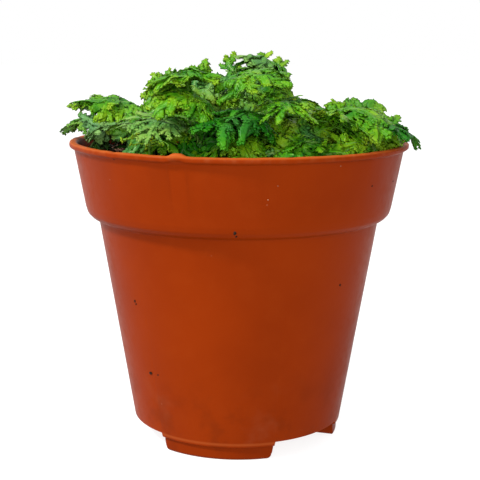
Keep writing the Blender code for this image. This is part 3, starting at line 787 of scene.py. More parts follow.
def frond_branches(frond, per_side):
    """The rib and the side branchlets of one frond, with smaller ones between them. The wide ones fork."""
    draw = random.Random(frond.seed + 4000)
    tint = draw.uniform(-0.8, 0.8)
    if frond.fresh is not None:
        tint = frond.fresh + 0.2 * tint
    rib_end = 0.90 * frond.length
    s = np.linspace(0.0, rib_end, max(6, int(rib_end / BRANCH_STEP)))
    share = s / rib_end
    half, girth = (1.5 - 0.1 * share) * MM, (0.32 - 0.16 * share) * MM
    found = [along_blade(frond, s, np.zeros_like(s), half, 0.24 * share, girth, tint)]
    for s0, side, reach, angle, width in lobes(frond.length, frond.half_width, per_side, frond.seed):
        own = tint * 0.6 + draw.uniform(-0.6, 0.6)
        found += side_lobe(frond, draw, s0, side, reach, angle, width, own, width > FORKING_WIDTH, 0.0)
        if side and draw.random() < BETWEEN_SHARE:
            spacing = width / (0.86 * math.sin(angle))
            found += side_lobe(
                frond, draw, s0 + 0.5 * spacing, side, reach * draw.uniform(0.55, 0.85), angle * 0.94,
                0.8 * width, own, False, draw.choice(BETWEEN_LIFTS) * MM,
            )
    for branch in found:
        branch.painted_sheen = frond.painted_sheen
        # The least fresh fronds get painted shade all over, and the freshest get none
        if frond.fresh is not None and frond.fresh < SHADED_BELOW:
            branch.deep = np.ones_like(branch.deep)
        elif frond.fresh is not None and frond.fresh > NEVER_DARK_ABOVE:
            branch.deep = np.zeros_like(branch.deep)
    return found


def stem_branch(frond):
    """The stem from the soil to the neck, as a line with its own small leaves."""
    line = frond.stem_line()
    corners = np.array([tuple(p) for p in line])
    steps = np.linalg.norm(np.diff(corners, axis=0), axis=1)
    stations = np.concatenate([[0.0], np.cumsum(steps)])
    at = np.linspace(0.0, stations[-1], max(8, int(stations[-1] / BRANCH_STEP)))
    points = np.stack([np.interp(at, stations, corners[:, k]) for k in range(3)], axis=-1)
    ahead = np.gradient(points, axis=0)
    up = np.cross(ahead, np.cross((math.cos(frond.heading), math.sin(frond.heading), 0.4), ahead))
    up /= np.linalg.norm(up, axis=1)[:, None] + 1e-12
    share = at / stations[-1]
    half = np.where(points[:, 2] > SOIL_LEVEL + 1.0 * MM, 1.25 * MM, 0.05 * MM)
    return Branch(points, up, half, 0.1 * share, (0.62 - 0.12 * share) * MM, -0.3)


def kept_clear(branches):
    """The branchlets, each cut short where it would run into the pot or the soil."""
    found = []
    for branch in branches:
        x, y, z = branch.points.T
        out = np.hypot(x, y)
        low = z < POT_HEIGHT + BRANCH_CLEARANCE
        bad = low & (out > pot_inner_radius(z) - BRANCH_CLEARANCE) & (out < LIP_RADIUS + BRANCH_CLEARANCE)
        bad |= (z < SOIL_LEVEL + 1.2 * MM) & (out < LIP_RADIUS)
        if bad.any():
            end = int(bad.argmax())
            if end < 4:
                continue
            for key in ("points", "up", "half", "age", "girth", "deep"):
                setattr(branch, key, getattr(branch, key)[:end])
        found.append(branch)
    return found


def line_mesh(name, branches):
    """A mesh of plain lines, with what the leaves need to know kept at its points."""
    mesh = bpy.data.meshes.new(name)
    points = np.vstack([b.points for b in branches])
    edges, base = [], 0
    for b in branches:
        edges += [(base + i, base + i + 1) for i in range(len(b.points) - 1)]
        base += len(b.points)
    mesh.from_pydata(points.tolist(), edges, [])
    up = np.vstack([b.up for b in branches]).astype(np.float32)
    mesh.attributes.new("up", "FLOAT_VECTOR", "POINT").data.foreach_set("vector", up.ravel())
    for key in ("half", "age", "girth", "deep", "tint", "painted_sheen"):
        values = np.concatenate([np.resize(getattr(b, key), len(b.points)) for b in branches])
        mesh.attributes.new(key, "FLOAT", "POINT").data.foreach_set("value", values.astype(np.float32))
    return link_object(name, mesh)


# Leaves on the lines

def leaf_shape(name, outline, ridge, turns_deg=(0.0,)):
    """Tiny closed leaves of length 1 along X, with raised middles and drooping tips, turned round Z."""
    points, faces = [], []
    for turn_deg in turns_deg:
        turn = Matrix.Rotation(math.radians(turn_deg), 3, "Z")
        base = len(points)
        rim = [(x, y, -LEAF_DROOP * x * x) for x, y in outline]
        points += [turn @ Vector(p) for p in rim + [(0.5, 0.0, ridge)]]
        count = len(rim)
        for i in range(count):
            faces.append((base + i, base + (i + 1) % count, base + count))
        faces += [(base, base + i + 1, base + i) for i in range(1, count - 1)]
    mesh = bpy.data.meshes.new(name)
    mesh.from_pydata(points, [], faces)
    smooth_faces(mesh)
    edge = mesh.attributes.new("edge", "FLOAT", "POINT").data
    for i, vertex in enumerate(mesh.vertices):
        edge[i].value = math.hypot(vertex.co.x, vertex.co.y)
    return link_object(name, mesh)


def growing_tree(name, takes, numbers, objects, materials, gives):
    """A node tree that turns one shape into another. Gives it, and what is set for it by name."""
    tree = bpy.data.node_groups.new(name, "GeometryNodeTree")
    face = tree.interface
    face.new_socket(takes, in_out="INPUT", socket_type="NodeSocketGeometry")
    for label, value in numbers:
        face.new_socket(label, in_out="INPUT", socket_type="NodeSocketFloat").default_value = value
    face.new_socket("Seed", in_out="INPUT", socket_type="NodeSocketInt")
    for label in objects:
        face.new_socket(label, in_out="INPUT", socket_type="NodeSocketObject")
    for label in materials:
        face.new_socket(label, in_out="INPUT", socket_type="NodeSocketMaterial")
    face.new_socket(gives, in_out="OUTPUT", socket_type="NodeSocketGeometry")
    return tree, tree.nodes.new("NodeGroupInput").outputs


def named(tree, name, kind="FLOAT"):
    node = add_node(tree, "GeometryNodeInputNamedAttribute", {"Name": name}, data_type=kind)
    return node.outputs["Attribute"]


def random_value(tree, low, high, seed):
    """A number between two others, drawn anew at each point."""
    node = add_node(tree, "FunctionNodeRandomValue", {"Seed": seed, 2: low, 3: high}, data_type="FLOAT")
    return node.outputs[1]


def turned_to(tree, way, up):
    """How a thing is turned whose X points the way and whose Z keeps to the upper side."""
    return made_by(
        tree, "FunctionNodeAxesToRotation", {"Primary Axis": way, "Secondary Axis": up},
        primary_axis="X", secondary_axis="Z",
    )


def copies(tree, leaf, placing, tone, finish):
    """Copies of a leaf, as placed, each with a tone of its own, with their finish."""
    leaf = add_node(tree, "GeometryNodeObjectInfo", {"Object": leaf}).outputs["Geometry"]
    leaves = made_by(tree, "GeometryNodeInstanceOnPoints", {"Instance": leaf, **placing})
    leaves = made_by(tree, "GeometryNodeStoreNamedAttribute", {
        "Geometry": leaves, "Name": "leaf", "Value": tone,
    }, data_type="FLOAT", domain="INSTANCE")
    leaves = made_by(tree, "GeometryNodeRealizeInstances", {"Geometry": leaves})
    return made_by(tree, "GeometryNodeSetMaterial", {"Geometry": leaves, "Material": finish})


def side_leaves(tree, given, points, tangent, up, side):
    """Leaves that point out and ahead, left and right in turn, shorter towards the branchlet's tip."""
    index = made_by(tree, "GeometryNodeInputIndex")
    left_right = calculated(tree, "MULTIPLY_ADD", calculated(tree, "MODULO", index, 2.0), 2.0, -1.0)
    seed = plus(tree, given["Seed"], 11.0)
    younger = calculated(tree, "MULTIPLY_ADD", named(tree, "age"), -0.30, 1.0)
    angle = plus(tree, times(tree, given["Side Angle"], younger), random_value(tree, -0.07, 0.07, seed))
    place = made_by(tree, "GeometryNodeInputPosition")
    place = vector_node(tree, "ADD", place, scaled(tree, side, times(tree, left_right, 1.5 * MM)))
    ruffle = add_node(tree, "ShaderNodeTexNoise", {
        "Vector": place, "Scale": given["Ruffle Scale"], "Detail": 0.0,
    }).outputs["Fac"]
    ruffle = times(tree, calculated(tree, "SUBTRACT", ruffle, 0.5), given["Ruffle"])
    tilt = plus(tree, given["Leaf Tilt"], ruffle)
    tilt = plus(tree, tilt, random_value(tree, -0.03, 0.03, plus(tree, seed, 3.0)))
    ahead = scaled(tree, tangent, calculated(tree, "COSINE", angle))
    out = scaled(tree, side, times(tree, calculated(tree, "SINE", angle), left_right))
    way = vector_node(tree, "ADD", vector_node(tree, "ADD", ahead, out), scaled(tree, up, tilt))
    own = random_value(tree, 0.84, 1.10, plus(tree, seed, 5.0))
    length = calculated(tree, "MAXIMUM", times(tree, named(tree, "half"), own), 0.55 * MM)
    width = calculated(tree, "MINIMUM", given["Leaf Width"], times(tree, length, 0.95))
    scale = made_by(tree, "ShaderNodeCombineXYZ", {"X": length, "Y": width, "Z": width})
    placing = {"Points": points, "Rotation": turned_to(tree, way, up), "Scale": scale}
    tone = random_value(tree, 0.0, 1.0, plus(tree, seed, 9.0))
    return copies(tree, given["Side Leaf"], placing, tone, given["Leaf Finish"])


def tip_fans(tree, given, points, tangent, up):
    """A fan of narrow leaves at the end of each branchlet."""
    last = made_by(tree, "GeometryNodeCurveEndpointSelection", {"Start Size": 0})
    size = calculated(tree, "MAXIMUM", times(tree, named(tree, "half"), 1.25), 0.9 * MM)
    placing = {"Points": points, "Selection": last, "Rotation": turned_to(tree, tangent, up), "Scale": size}
    tone = random_value(tree, 0.2, 1.0, given["Seed"])
    return copies(tree, given["Tip Leaves"], placing, tone, given["Leaf Finish"])


def swept(tree, lines, corners, flatness, size, finish):
    """Lines as closed rods of a size: with as many corners, and flat or round."""
    outline = made_by(
        tree, "GeometryNodeCurvePrimitiveCircle", {"Resolution": corners, "Radius": 1.0}, mode="RADIUS"
    )
    outline = made_by(tree, "GeometryNodeTransform", {"Geometry": outline, "Scale": (1.0, flatness, 1.0)})
    rods = made_by(tree, "GeometryNodeCurveToMesh", {
        "Curve": lines, "Profile Curve": outline, "Scale": size, "Fill Caps": True,
    })
    return made_by(tree, "GeometryNodeSetMaterial", {"Geometry": rods, "Material": finish})


def thin_blades(tree, given, lines, up, side):
    """The blade that joins each branchlet's leaves, a little over its line."""
    offset = scaled(tree, up, given["Blade Lift"])
    lifted = made_by(tree, "GeometryNodeSetPosition", {"Geometry": lines, "Offset": offset})
    lifted = made_by(tree, "GeometryNodeSetCurveNormal", {"Curve": lifted, "Normal": side}, mode="FREE")
    size = times(tree, named(tree, "half"), given["Blade Share"])
    return swept(tree, lifted, 6, 0.09, size, given["Leaf Finish"])


def leaf_tree():
    """Lines in, leafy branchlets out, all a little crinkled."""
    objects, materials = ("Side Leaf", "Tip Leaves"), ("Leaf Finish", "Stalk Finish")
    tree, given = growing_tree("leafy_branchlets", "Lines", LEAF_SETTINGS, objects, materials, "Branchlets")
    lines = made_by(tree, "GeometryNodeMeshToCurve", {"Mesh": given["Lines"]})
    evened = made_by(
        tree, "GeometryNodeResampleCurve", {"Curve": lines, "Length": given["Leaf Spacing"]}, mode="LENGTH"
    )
    tangent = made_by(tree, "GeometryNodeInputTangent")
    up = named(tree, "up", "FLOAT_VECTOR")
    side = vector_node(tree, "NORMALIZE", vector_node(tree, "CROSS_PRODUCT", up, tangent))
    joined = tree.nodes.new("GeometryNodeJoinGeometry")
    for part in (
        side_leaves(tree, given, evened, tangent, up, side),
        tip_fans(tree, given, evened, tangent, up),
        thin_blades(tree, given, lines, up, side),
        swept(tree, lines, 4, 1.0, named(tree, "girth"), given["Stalk Finish"]),
    ):
        tree.links.new(part, joined.inputs[0])
    noise = add_node(tree, "ShaderNodeTexNoise", {"Scale": given["Crinkle Scale"], "Detail": 0.0})
    crinkle = vector_node(tree, "SUBTRACT", noise.outputs["Color"], (0.5, 0.5, 0.5))
    crinkled = made_by(tree, "GeometryNodeSetPosition", {
        "Geometry": joined.outputs[0], "Offset": scaled(tree, crinkle, given["Crinkle"]),
    })
    add_node(tree, "NodeGroupOutput", {0: crinkled})
    return tree


def set_inputs(modifier, values):
    """Sets a node modifier's inputs by their sockets' identifiers."""
    for item in modifier.node_group.interface.items_tree:
        if item.item_type == "SOCKET" and item.in_out == "INPUT" and item.name in values:
            modifier[item.identifier] = values[item.name]


def grown(source, name, tree, values):
    """What the node tree makes of an object, as a plain mesh."""
    growth = source.modifiers.new("growth", "NODES")
    growth.node_group = tree
    set_inputs(growth, values)
    made = plain_mesh(source, name)
    drop_empty_slots(made.data)
    return made


def leafy_piece(name, fronds, growth, seed, *nodes):
    """One piece of leaves: the branchlets of its fronds, which may stand for solids."""
    tree, values = growth
    branches = []
    for frond, per_side in fronds:
        branches += kept_clear(frond_branches(frond, per_side)) + [stem_branch(frond)]
    made = grown(line_mesh(name + "_lines", branches), name, tree, {**values, "Seed": seed})
    stalk_slot = made.data.materials.find(values["Stalk Finish"].name)
    for face in made.data.polygons:
        if face.material_index == stalk_slot or len(face.vertices) == 4:
            face.use_smooth = True
    return finish_piece(made, "spikemoss_leaf", *nodes)


# More sprays among the fronds of the solids

def shows_open_soil(x, y, front):
    """Whether the soil stays open there, at the left and between the plant and the front."""
    left_front = x < OPEN_CORNER[0] and y < OPEN_CORNER[1]
    return x < OPEN_LEFT or left_front or y < front


def spray_rows(count, seed, shares, lengths, half_widths, first_number, front):
    """Smaller sprays on a spiral as in a flower head, at a share of the mound's height."""
    draw = random.Random(seed)
    for i in range(count):
        radius = SPRAY_RADIUS * math.sqrt((i + 0.5) / count)
        angle = math.radians(GOLDEN_ANGLE * i + SPIRAL_START_DEG) + draw.uniform(-0.15, 0.15)
        x, y = radius * math.cos(angle), radius * math.sin(angle)
        heading = outwards_heading(x, y, draw, *SPRAY_HEADINGS)
        length = draw.uniform(*lengths) * MM
        neck_x, neck_y = behind(x, y, NECK_SHARE * length, heading)
        height = mound_height(neck_x, neck_y)
        if x > FULL_CORNER[0] and y < FULL_CORNER[1]:
            height = max(height, FULL_HEIGHT)
        neck = height * draw.uniform(*shares)
        root = root_under(neck_x, neck_y, neck, heading)
        droop = math.radians(draw.uniform(*SPRAY_DROOPS_DEG))
        pitch = droop / 2 - math.radians(draw.uniform(*SPRAY_FALLS_DEG))
        roll = math.radians(draw.uniform(-SPRAY_ROLL_DEG, SPRAY_ROLL_DEG))
        half_width = draw.uniform(*half_widths) * MM
        if not shows_open_soil(x, y, front):
            yield (root, neck, heading, length, half_width, pitch, droop, roll, PLAIN_SIDE_LOBES,
                   first_number + i)


def facing_rows():
    """Sprays whose upper face looks to the front, and a little outwards on the flanks."""
    for number, (x, y, z, turn_deg, length, half_width, droop, _, _) in enumerate(FACING_SPRAYS):
        middle = Vector((x, y, z)) * MM
        outwards, front, up = SPRAY_FACE
        face = Vector((outwards * middle.x / LIP_RADIUS, front, up)).normalized()
        level = Vector((0, 0, 1)).cross(face).normalized()
        turn = math.radians(turn_deg)
        along = level * math.cos(turn) + face.cross(level) * math.sin(turn)
        side = face.cross(along)
        heading = math.atan2(along.y, along.x)
        flat_side = Vector((-math.sin(heading), math.cos(heading), 0))
        roll = math.atan2(side.dot(along.cross(flat_side)), side.dot(flat_side))
        bend = math.radians(droop)
        pitch = math.asin(along.z)
        first = pitch + bend / 4
        level_reach = math.cos(first)
        start = Vector((level_reach * math.cos(heading), level_reach * math.sin(heading), math.sin(first)))
        place = middle - start * (0.5 * length * MM)
        neck = max(place.z - SOIL_LEVEL, 2 * MM)
        root = root_under(place.x, place.y, neck, heading)
        lobe_count = max(2, round(length / SPRAY_LOBE_MM))
        yield (root, neck, heading, length * MM, half_width * MM, pitch + bend / 2, bend, roll,
               lobe_count, FIRST_FACING + number)


def settled(rows, margin=TOP_MARGIN):
    """The first variant of each row that keeps clear of the pot and under the top line, and its lobes."""
    found = []
    for row in rows:
        s = np.array([0.0, 0.3, 0.6, 1.0, 0.3, 0.6, 0.3, 0.6, 0.9, 0.9]) * row[3]
        t = np.array([0.0, 0.0, 0.0, 0.0, 1.0, 1.0, -1.0, -1.0, 0.6, -0.6]) * row[4]
        for made in variants(row):
            frond = Frond(*made)
            points, _ = frond.surface(s, t)
            if clear_of_pot(points) and under_top_line(points, margin):
                found.append((frond, row[8]))
                break
    return found


def facing_sprays():
    found = settled(facing_rows(), FACING_TOP_MARGIN)
    for frond, _ in found:
        frond.fresh, frond.painted_sheen = FACING_SPRAYS[frond.seed - FIRST_FACING][-2:]
    return found


def seedling():
    """One young spray of the freshest green by the lip at the front left."""
    frond = Frond(*next(variants(next(outline_rows((SEEDLING,), SEEDLING_SEED)))))
    frond.fresh = SEEDLING_FRESHNESS
    return [(frond, PLAIN_SIDE_LOBES)]


# Finishes

def shader_group(name, inputs, outputs):
    tree = bpy.data.node_groups.new(name, "ShaderNodeTree")
    for label, kind, value in inputs:
        tree.interface.new_socket(label, in_out="INPUT", socket_type=kind).default_value = value
    for label, kind in outputs:
        tree.interface.new_socket(label, in_out="OUTPUT", socket_type=kind)
    return tree, tree.nodes.new("NodeGroupInput").outputs, tree.nodes.new("NodeGroupOutput")


def mottle_group():
    """Soft blotches: a mask between 0 and 1 from noise in the piece's own space."""
    tree, given, result = shader_group(
        "mottle",
        (("Scale", "NodeSocketFloat", 60.0), ("Detail", "NodeSocketFloat", 4.0),
         ("From", "NodeSocketFloat", 0.40), ("To", "NodeSocketFloat", 0.60)),
        (("Mask", "NodeSocketFloat"),),
    )
    place = tree.nodes.new("ShaderNodeTexCoord").outputs["Object"]
    noise = add_node(tree, "ShaderNodeTexNoise", {
        "Vector": place, "Scale": given["Scale"], "Detail": given["Detail"],
    }).outputs["Fac"]
    tree.links.new(between(tree, noise, given["From"], given["To"]), result.inputs["Mask"])
    return tree


def specks_group():
    """Scattered round specks: a mask, from cells with a dot in some of them."""
    tree, given, result = shader_group(
        "specks",
        (("Scale", "NodeSocketFloat", 300.0), ("Size", "NodeSocketFloat", 0.2),
         ("Share", "NodeSocketFloat", 0.3)),
        (("Mask", "NodeSocketFloat"),),
    )
    place = tree.nodes.new("ShaderNodeTexCoord").outputs["Object"]
    cells = add_node(tree, "ShaderNodeTexVoronoi", {"Vector": place, "Scale": given["Scale"]})
    dot = between(tree, cells.outputs["Distance"], given["Size"], times(tree, given["Size"], 0.6))
    pick = made_by(tree, "ShaderNodeSeparateColor", {"Color": cells.outputs["Color"]})
    kept = calculated(tree, "LESS_THAN", pick, given["Share"])
    tree.links.new(times(tree, dot, kept), result.inputs["Mask"])
    return tree


def grouped(tree, group, **values):
    """A group placed in a material with its own values. Gives its first output."""
    node = tree.nodes.new("ShaderNodeGroup")
    node.node_tree = group
    for key, value in values.items():
        node.inputs[key].default_value = value
    return node.outputs[0]


def new_finish(name, roughness, **fixed):
    """A material with its shader, and numbers that are the same all over set on the shader itself."""
    made = bpy.data.materials.new(name)
    made.use_nodes = True
    tree = made.node_tree
    shader = tree.nodes["Principled BSDF"]
    shader.inputs["Roughness"].default_value = roughness
    for key, value in fixed.items():
        shader.inputs[key.replace("_", " ")].default_value = value
    return made, tree, shader


def mixed(tree, factor, first, second, blend="MIX"):
    node = tree.nodes.new("ShaderNodeMix")
    node.data_type = "RGBA"
    node.blend_type = blend
    for socket, value in ((node.inputs[0], factor), (node.inputs[6], first), (node.inputs[7], second)):
        if isinstance(value, bpy.types.NodeSocket):
            tree.links.new(value, socket)
        elif isinstance(value, tuple):
            socket.default_value = (*value, 1.0)
        else:
            socket.default_value = value
    return node.outputs[2]


def bumped(tree, height, strength, distance):
    return add_node(tree, "ShaderNodeBump", {
        "Height": height, "Strength": strength, "Distance": distance,
    }).outputs["Normal"]


def attribute(tree, name):
    return add_node(tree, "ShaderNodeAttribute", attribute_name=name).outputs["Fac"]


def height_of_place(tree):
    place = tree.nodes.new("ShaderNodeTexCoord").outputs["Object"]
    return add_node(tree, "ShaderNodeSeparateXYZ", {"Vector": place}).outputs["Z"]


def between(tree, value, low, high):
    """0 at low, 1 at high, and smooth between them."""
    return made_by(
        tree, "ShaderNodeMapRange", {"Value": value, "From Min": low, "From Max": high},
        interpolation_type="SMOOTHSTEP",
    )


def faded(tree, value, low, high):
    """1 below low, 0 above high, and smooth between them."""
    return calculated(tree, "SUBTRACT", 1.0, between(tree, value, low, high))


def layered(tree, colour, layers):
    """The colour under layers of others, each given as (mask, share where the mask is full, colour)."""
    for mask, share, added in layers:
        colour = mixed(tree, times(tree, mask, share), colour, added)
    return colour


def darkened(tree, colour, mask, tone):
    """The colour, with less of it left where the mask is."""
    return mixed(tree, mask, colour, mixed(tree, 1.0, colour, tone, "MULTIPLY"))


def set_colour_and_bump(tree, shader, colour, bump):
    tree.links.new(colour, shader.inputs["Base Color"])
    tree.links.new(bump, shader.inputs["Normal"])


def leaf_green(tree, mottle):
    """Deep green where the leaf is old, yellow-green at the fresh tips, uneven from place to place."""
    fresh = times(tree, calculated(tree, "POWER", attribute(tree, "age"), 1.6), 0.30)
    blotch = grouped(tree, mottle, Scale=90.0, Detail=2.0, From=0.35, To=0.66)
    fleck = grouped(tree, mottle, Scale=620.0, Detail=1.0, From=0.34, To=0.68)
    for mask, share, start in (
        (attribute(tree, "tint"), 0.13, 0.0), (attribute(tree, "leaf"), 0.05, 0.17),
        (attribute(tree, "edge"), 0.03, 0.0), (blotch, 0.38, -0.14), (fleck, 0.20, -0.10),
    ):
        fresh = plus(tree, fresh, calculated(tree, "MULTIPLY_ADD", mask, share, start))
    ramp = add_node(tree, "ShaderNodeValToRGB", {"Fac": fresh})
    while len(ramp.color_ramp.elements) < len(LEAF_GREENS):
        ramp.color_ramp.elements.new(0.5)
    for element, (place, colour) in zip(ramp.color_ramp.elements, LEAF_GREENS):
        element.position = place
        element.color = (*colour, 1.0)
    return ramp.outputs["Color"]


def leaf_finish(mottle):
    """Leaves: a painted bluish sheen in places, painted shade low down and deep in the mound, with light
    through them.
    """
    made, tree, shader = new_finish("spikemoss_leaf_finish", 0.42, Specular_IOR_Level=0.15)
    # A painted bluish sheen: in patches, and on the sprays that are given a share of it
    bluish = times(tree, grouped(tree, mottle, Scale=42.0, Detail=1.0, From=0.56, To=0.66), 0.40)
    bluish = calculated(tree, "MAXIMUM", bluish, times(tree, attribute(tree, "painted_sheen"), 0.75))
    colour = mixed(tree, bluish, leaf_green(tree, mottle), (0.100, 0.205, 0.095))
    # Painted shade low down by the soil
    low = faded(tree, height_of_place(tree), SOIL_LEVEL, SOIL_LEVEL + 9 * MM)
    colour = darkened(tree, colour, low, (0.46, 0.60, 0.50))
    # Darker deep in the mound: painted shade, with the darker green of older leaves there
    colour = darkened(tree, colour, attribute(tree, "deep"), (0.27, 0.66, 0.28))
    grain = grouped(tree, mottle, Scale=1100.0, Detail=2.0, From=0.3, To=0.7)
    set_colour_and_bump(tree, shader, colour, bumped(tree, grain, 0.6, 0.15 * MM))
    tree.links.new(calculated(tree, "MULTIPLY_ADD", grain, 0.16, 0.34), shader.inputs["Roughness"])
    glow = mixed(tree, 1.0, colour, (1.3, 1.25, 0.6), "MULTIPLY")
    through = made_by(tree, "ShaderNodeBsdfTranslucent", {"Color": glow})
    both = made_by(tree, "ShaderNodeMixShader", {0: 0.15, 1: shader.outputs[0], 2: through})
    tree.links.new(both, tree.nodes["Material Output"].inputs["Surface"])
    return made


def stalk_finish(mottle):
    """Stalks: straw-coloured and brownish low down, green where leaves grow on them, with painted shade
    deep in the mound.
    """
    made, tree, shader = new_finish("spikemoss_stalk_finish", 0.5)
    low = between(tree, height_of_place(tree), SOIL_LEVEL - 1 * MM, SOIL_LEVEL + 12 * MM)
    colour = mixed(tree, low, (0.060, 0.042, 0.016), (0.070, 0.190, 0.012))
    blotch = grouped(tree, mottle, Scale=300.0, Detail=3.0, From=0.4, To=0.7)
    leafy = between(tree, attribute(tree, "age"), 0.18, 0.36)
    colour = layered(tree, colour, (
        (blotch, 0.4, (0.110, 0.225, 0.022)),
        (leafy, 1.0, (0.062, 0.205, 0.004)),
    ))
    # Painted shade deep in the mound
    colour = darkened(tree, colour, attribute(tree, "deep"), (0.30, 0.45, 0.30))
    set_colour_and_bump(tree, shader, colour, bumped(tree, blotch, 0.3, 0.05 * MM))
    return made


def pot_finish(mottle, specks):
    """Terracotta-coloured plastic: faint flow marks, dust in the corners, scuffs and a little soil, with
    painted shade on the recessed foot, a painted highlight line on the ridge above it and a painted
    highlight along the lip's top.
    """
    made, tree, shader = new_finish("terracotta_plastic_finish", 0.46, Specular_IOR_Level=0.02)
    height = height_of_place(tree)
    broad = grouped(tree, mottle, Scale=26.0, Detail=3.0, From=0.32, To=0.70)
    cloudy = grouped(tree, mottle, Scale=190.0, Detail=5.0, From=0.45, To=0.80)
    dust = grouped(tree, mottle, Scale=420.0, Detail=6.0, From=0.40, To=0.72)
    scuff = grouped(tree, mottle, Scale=130.0, Detail=6.0, From=0.48, To=0.66)
    haze = grouped(tree, mottle, Scale=75.0, Detail=3.0, From=0.56, To=0.76)
    dusty = between(tree, height, 91.5 * MM, 94.0 * MM)
    worn = faded(tree, height, 6.0 * MM, 32.0 * MM)
    # Painted shade on the recessed foot, and a painted highlight line on the ridge just above it
    foot = faded(tree, height, GAP_TOP - 1.6 * MM, GAP_TOP - 1.0 * MM)
    ridge_highlight_foot = between(tree, height, GAP_TOP - 1.0 * MM, GAP_TOP - 0.5 * MM)
    ridge_highlight_top = faded(tree, height, GAP_TOP - 0.2 * MM, GAP_TOP + 0.3 * MM)
    # A painted highlight along the lip's top
    lip_highlight = between(tree, height, 93.2 * MM, 93.9 * MM)
    light = grouped(tree, specks, Scale=260.0, Size=0.07, Share=0.06)
    dark = grouped(tree, specks, Scale=170.0, Size=0.07, Share=0.08)
    colour = mixed(tree, broad, (0.172, 0.0180, 0.0005), (0.152, 0.0152, 0.0004))
    colour = layered(tree, colour, (
        (cloudy, 0.22, (0.186, 0.023, 0.0014)),
        (times(tree, dust, dusty), 0.22, (0.26, 0.085, 0.030)),
        (times(tree, scuff, worn), 0.34, (0.085, 0.0105, 0.0012)),
        (times(tree, haze, worn), 0.45, (0.185, 0.040, 0.014)),
        # Painted shade on the foot, a painted highlight line on the ridge and a painted highlight along the
        # lip's top
        (foot, 0.45, (0.105, 0.0100, 0.0003)),
        (times(tree, ridge_highlight_foot, ridge_highlight_top), 0.5, (0.250, 0.050, 0.010)),
        (lip_highlight, 0.75, (0.300, 0.066, 0.0105)),
        (light, 0.35, (0.30, 0.10, 0.05)),
        (dark, 0.55, (0.05, 0.009, 0.003)),
    ))
    grain = grouped(tree, mottle, Scale=900.0, Detail=4.0, From=0.3, To=0.7)
    set_colour_and_bump(tree, shader, colour, bumped(tree, grain, 0.16, 0.05 * MM))
    rough = plus(tree, calculated(tree, "MULTIPLY_ADD", cloudy, 0.10, 0.36), times(tree, dust, 0.06))
    tree.links.new(rough, shader.inputs["Roughness"])
    return made


def soil_finish(mottle, specks):
    """Moist peat: dark reddish brown crumbs with paler fibres and bits."""
    made, tree, shader = new_finish("potting_soil_finish", 0.92, Specular_IOR_Level=0.25)
    crumbs = grouped(tree, mottle, Scale=700.0, Detail=6.0, From=0.34, To=0.66)
    patches = grouped(tree, mottle, Scale=110.0, Detail=3.0, From=0.50, To=0.70)
    pale = grouped(tree, specks, Scale=900.0, Size=0.25, Share=0.08)
    colour = mixed(tree, crumbs, (0.014, 0.0055, 0.0035), (0.085, 0.033, 0.018))
    colour = layered(tree, colour, (
        (patches, 0.6, (0.120, 0.040, 0.022)),
        (pale, 0.6, (0.26, 0.15, 0.085)),
    ))
    set_colour_and_bump(tree, shader, colour, bumped(tree, crumbs, 0.8, 0.4 * MM))
    return made


def fibre_finish(mottle):
    """Dry rootlets: straw to light brown."""
    made, tree, shader = new_finish("rootlet_finish", 0.75)
    along = grouped(tree, mottle, Scale=350.0, Detail=2.0, From=0.35, To=0.65)
    colour = mixed(tree, along, (0.17, 0.070, 0.035), (0.38, 0.20, 0.11))
    set_colour_and_bump(tree, shader, colour, bumped(tree, along, 0.3, 0.05 * MM))
    return made


def grain_finish(mottle):
    """Single dry grains of soil: nearly black."""
    made, tree, shader = new_finish("soil_grain_finish", 0.9, Specular_IOR_Level=0.1)
    grain = grouped(tree, mottle, Scale=1500.0, Detail=3.0, From=0.4, To=0.7)
    colour = mixed(tree, grain, (0.006, 0.003, 0.002), (0.022, 0.010, 0.006))
    set_colour_and_bump(tree, shader, colour, bumped(tree, grain, 0.5, 0.1 * MM))
    return made


def floor_finish(mottle):
    """A plain white sweep that glows a little, so that it stays pale under the soft light."""
    made, tree, shader = new_finish("floor_finish", 0.9, Specular_IOR_Level=0.1)
    faint = grouped(tree, mottle, Scale=6.0, Detail=2.0, From=0.3, To=0.7)
    tree.links.new(mixed(tree, faint, (0.20, 0.20, 0.20), (0.22, 0.22, 0.22)), shader.inputs["Base Color"])
    shader.inputs["Emission Color"].default_value = (1.0, 1.0, 1.0, 1.0)
    shader.inputs["Emission Strength"].default_value = FLOOR_GLOW
    return made


# Pot

def turned(name, profile, steps):
    """A closed outline of (radius, height) points, which ends on the axis at both ends, spun about Z."""
    mesh = bpy.data.meshes.new(name)
    mesh.from_pydata([(r, 0.0, z) for r, z in profile], [(i, i + 1) for i in range(len(profile) - 1)], [])
    made = link_object(name, mesh)
    spin = made.modifiers.new("spin", "SCREW")
    spin.axis = "Z"
    spin.angle = math.tau
    spin.steps = steps
    spin.render_steps = steps
    spin.use_merge_vertices = True
    spin.merge_threshold = 0.01 * MM
    return plain_mesh(made, name)


def rounded_corners(points, radius, steps=3):
    """The outline with each inner corner replaced by a small arc, kept within its two sides."""
    found = [points[0]]
    for before, corner, after in zip(points, points[1:], points[2:]):
        p, c, q = (np.array(v) for v in (before, corner, after))
        reach = min(radius, 0.42 * np.linalg.norm(p - c), 0.42 * np.linalg.norm(q - c))
        start = c + (p - c) / np.linalg.norm(p - c) * reach
        end = c + (q - c) / np.linalg.norm(q - c) * reach
        for k in range(steps + 1):
            w = k / steps
            found.append(tuple(start * (1 - w) ** 2 + c * 2 * w * (1 - w) + end * w * w))
    found.append(points[-1])
    return found


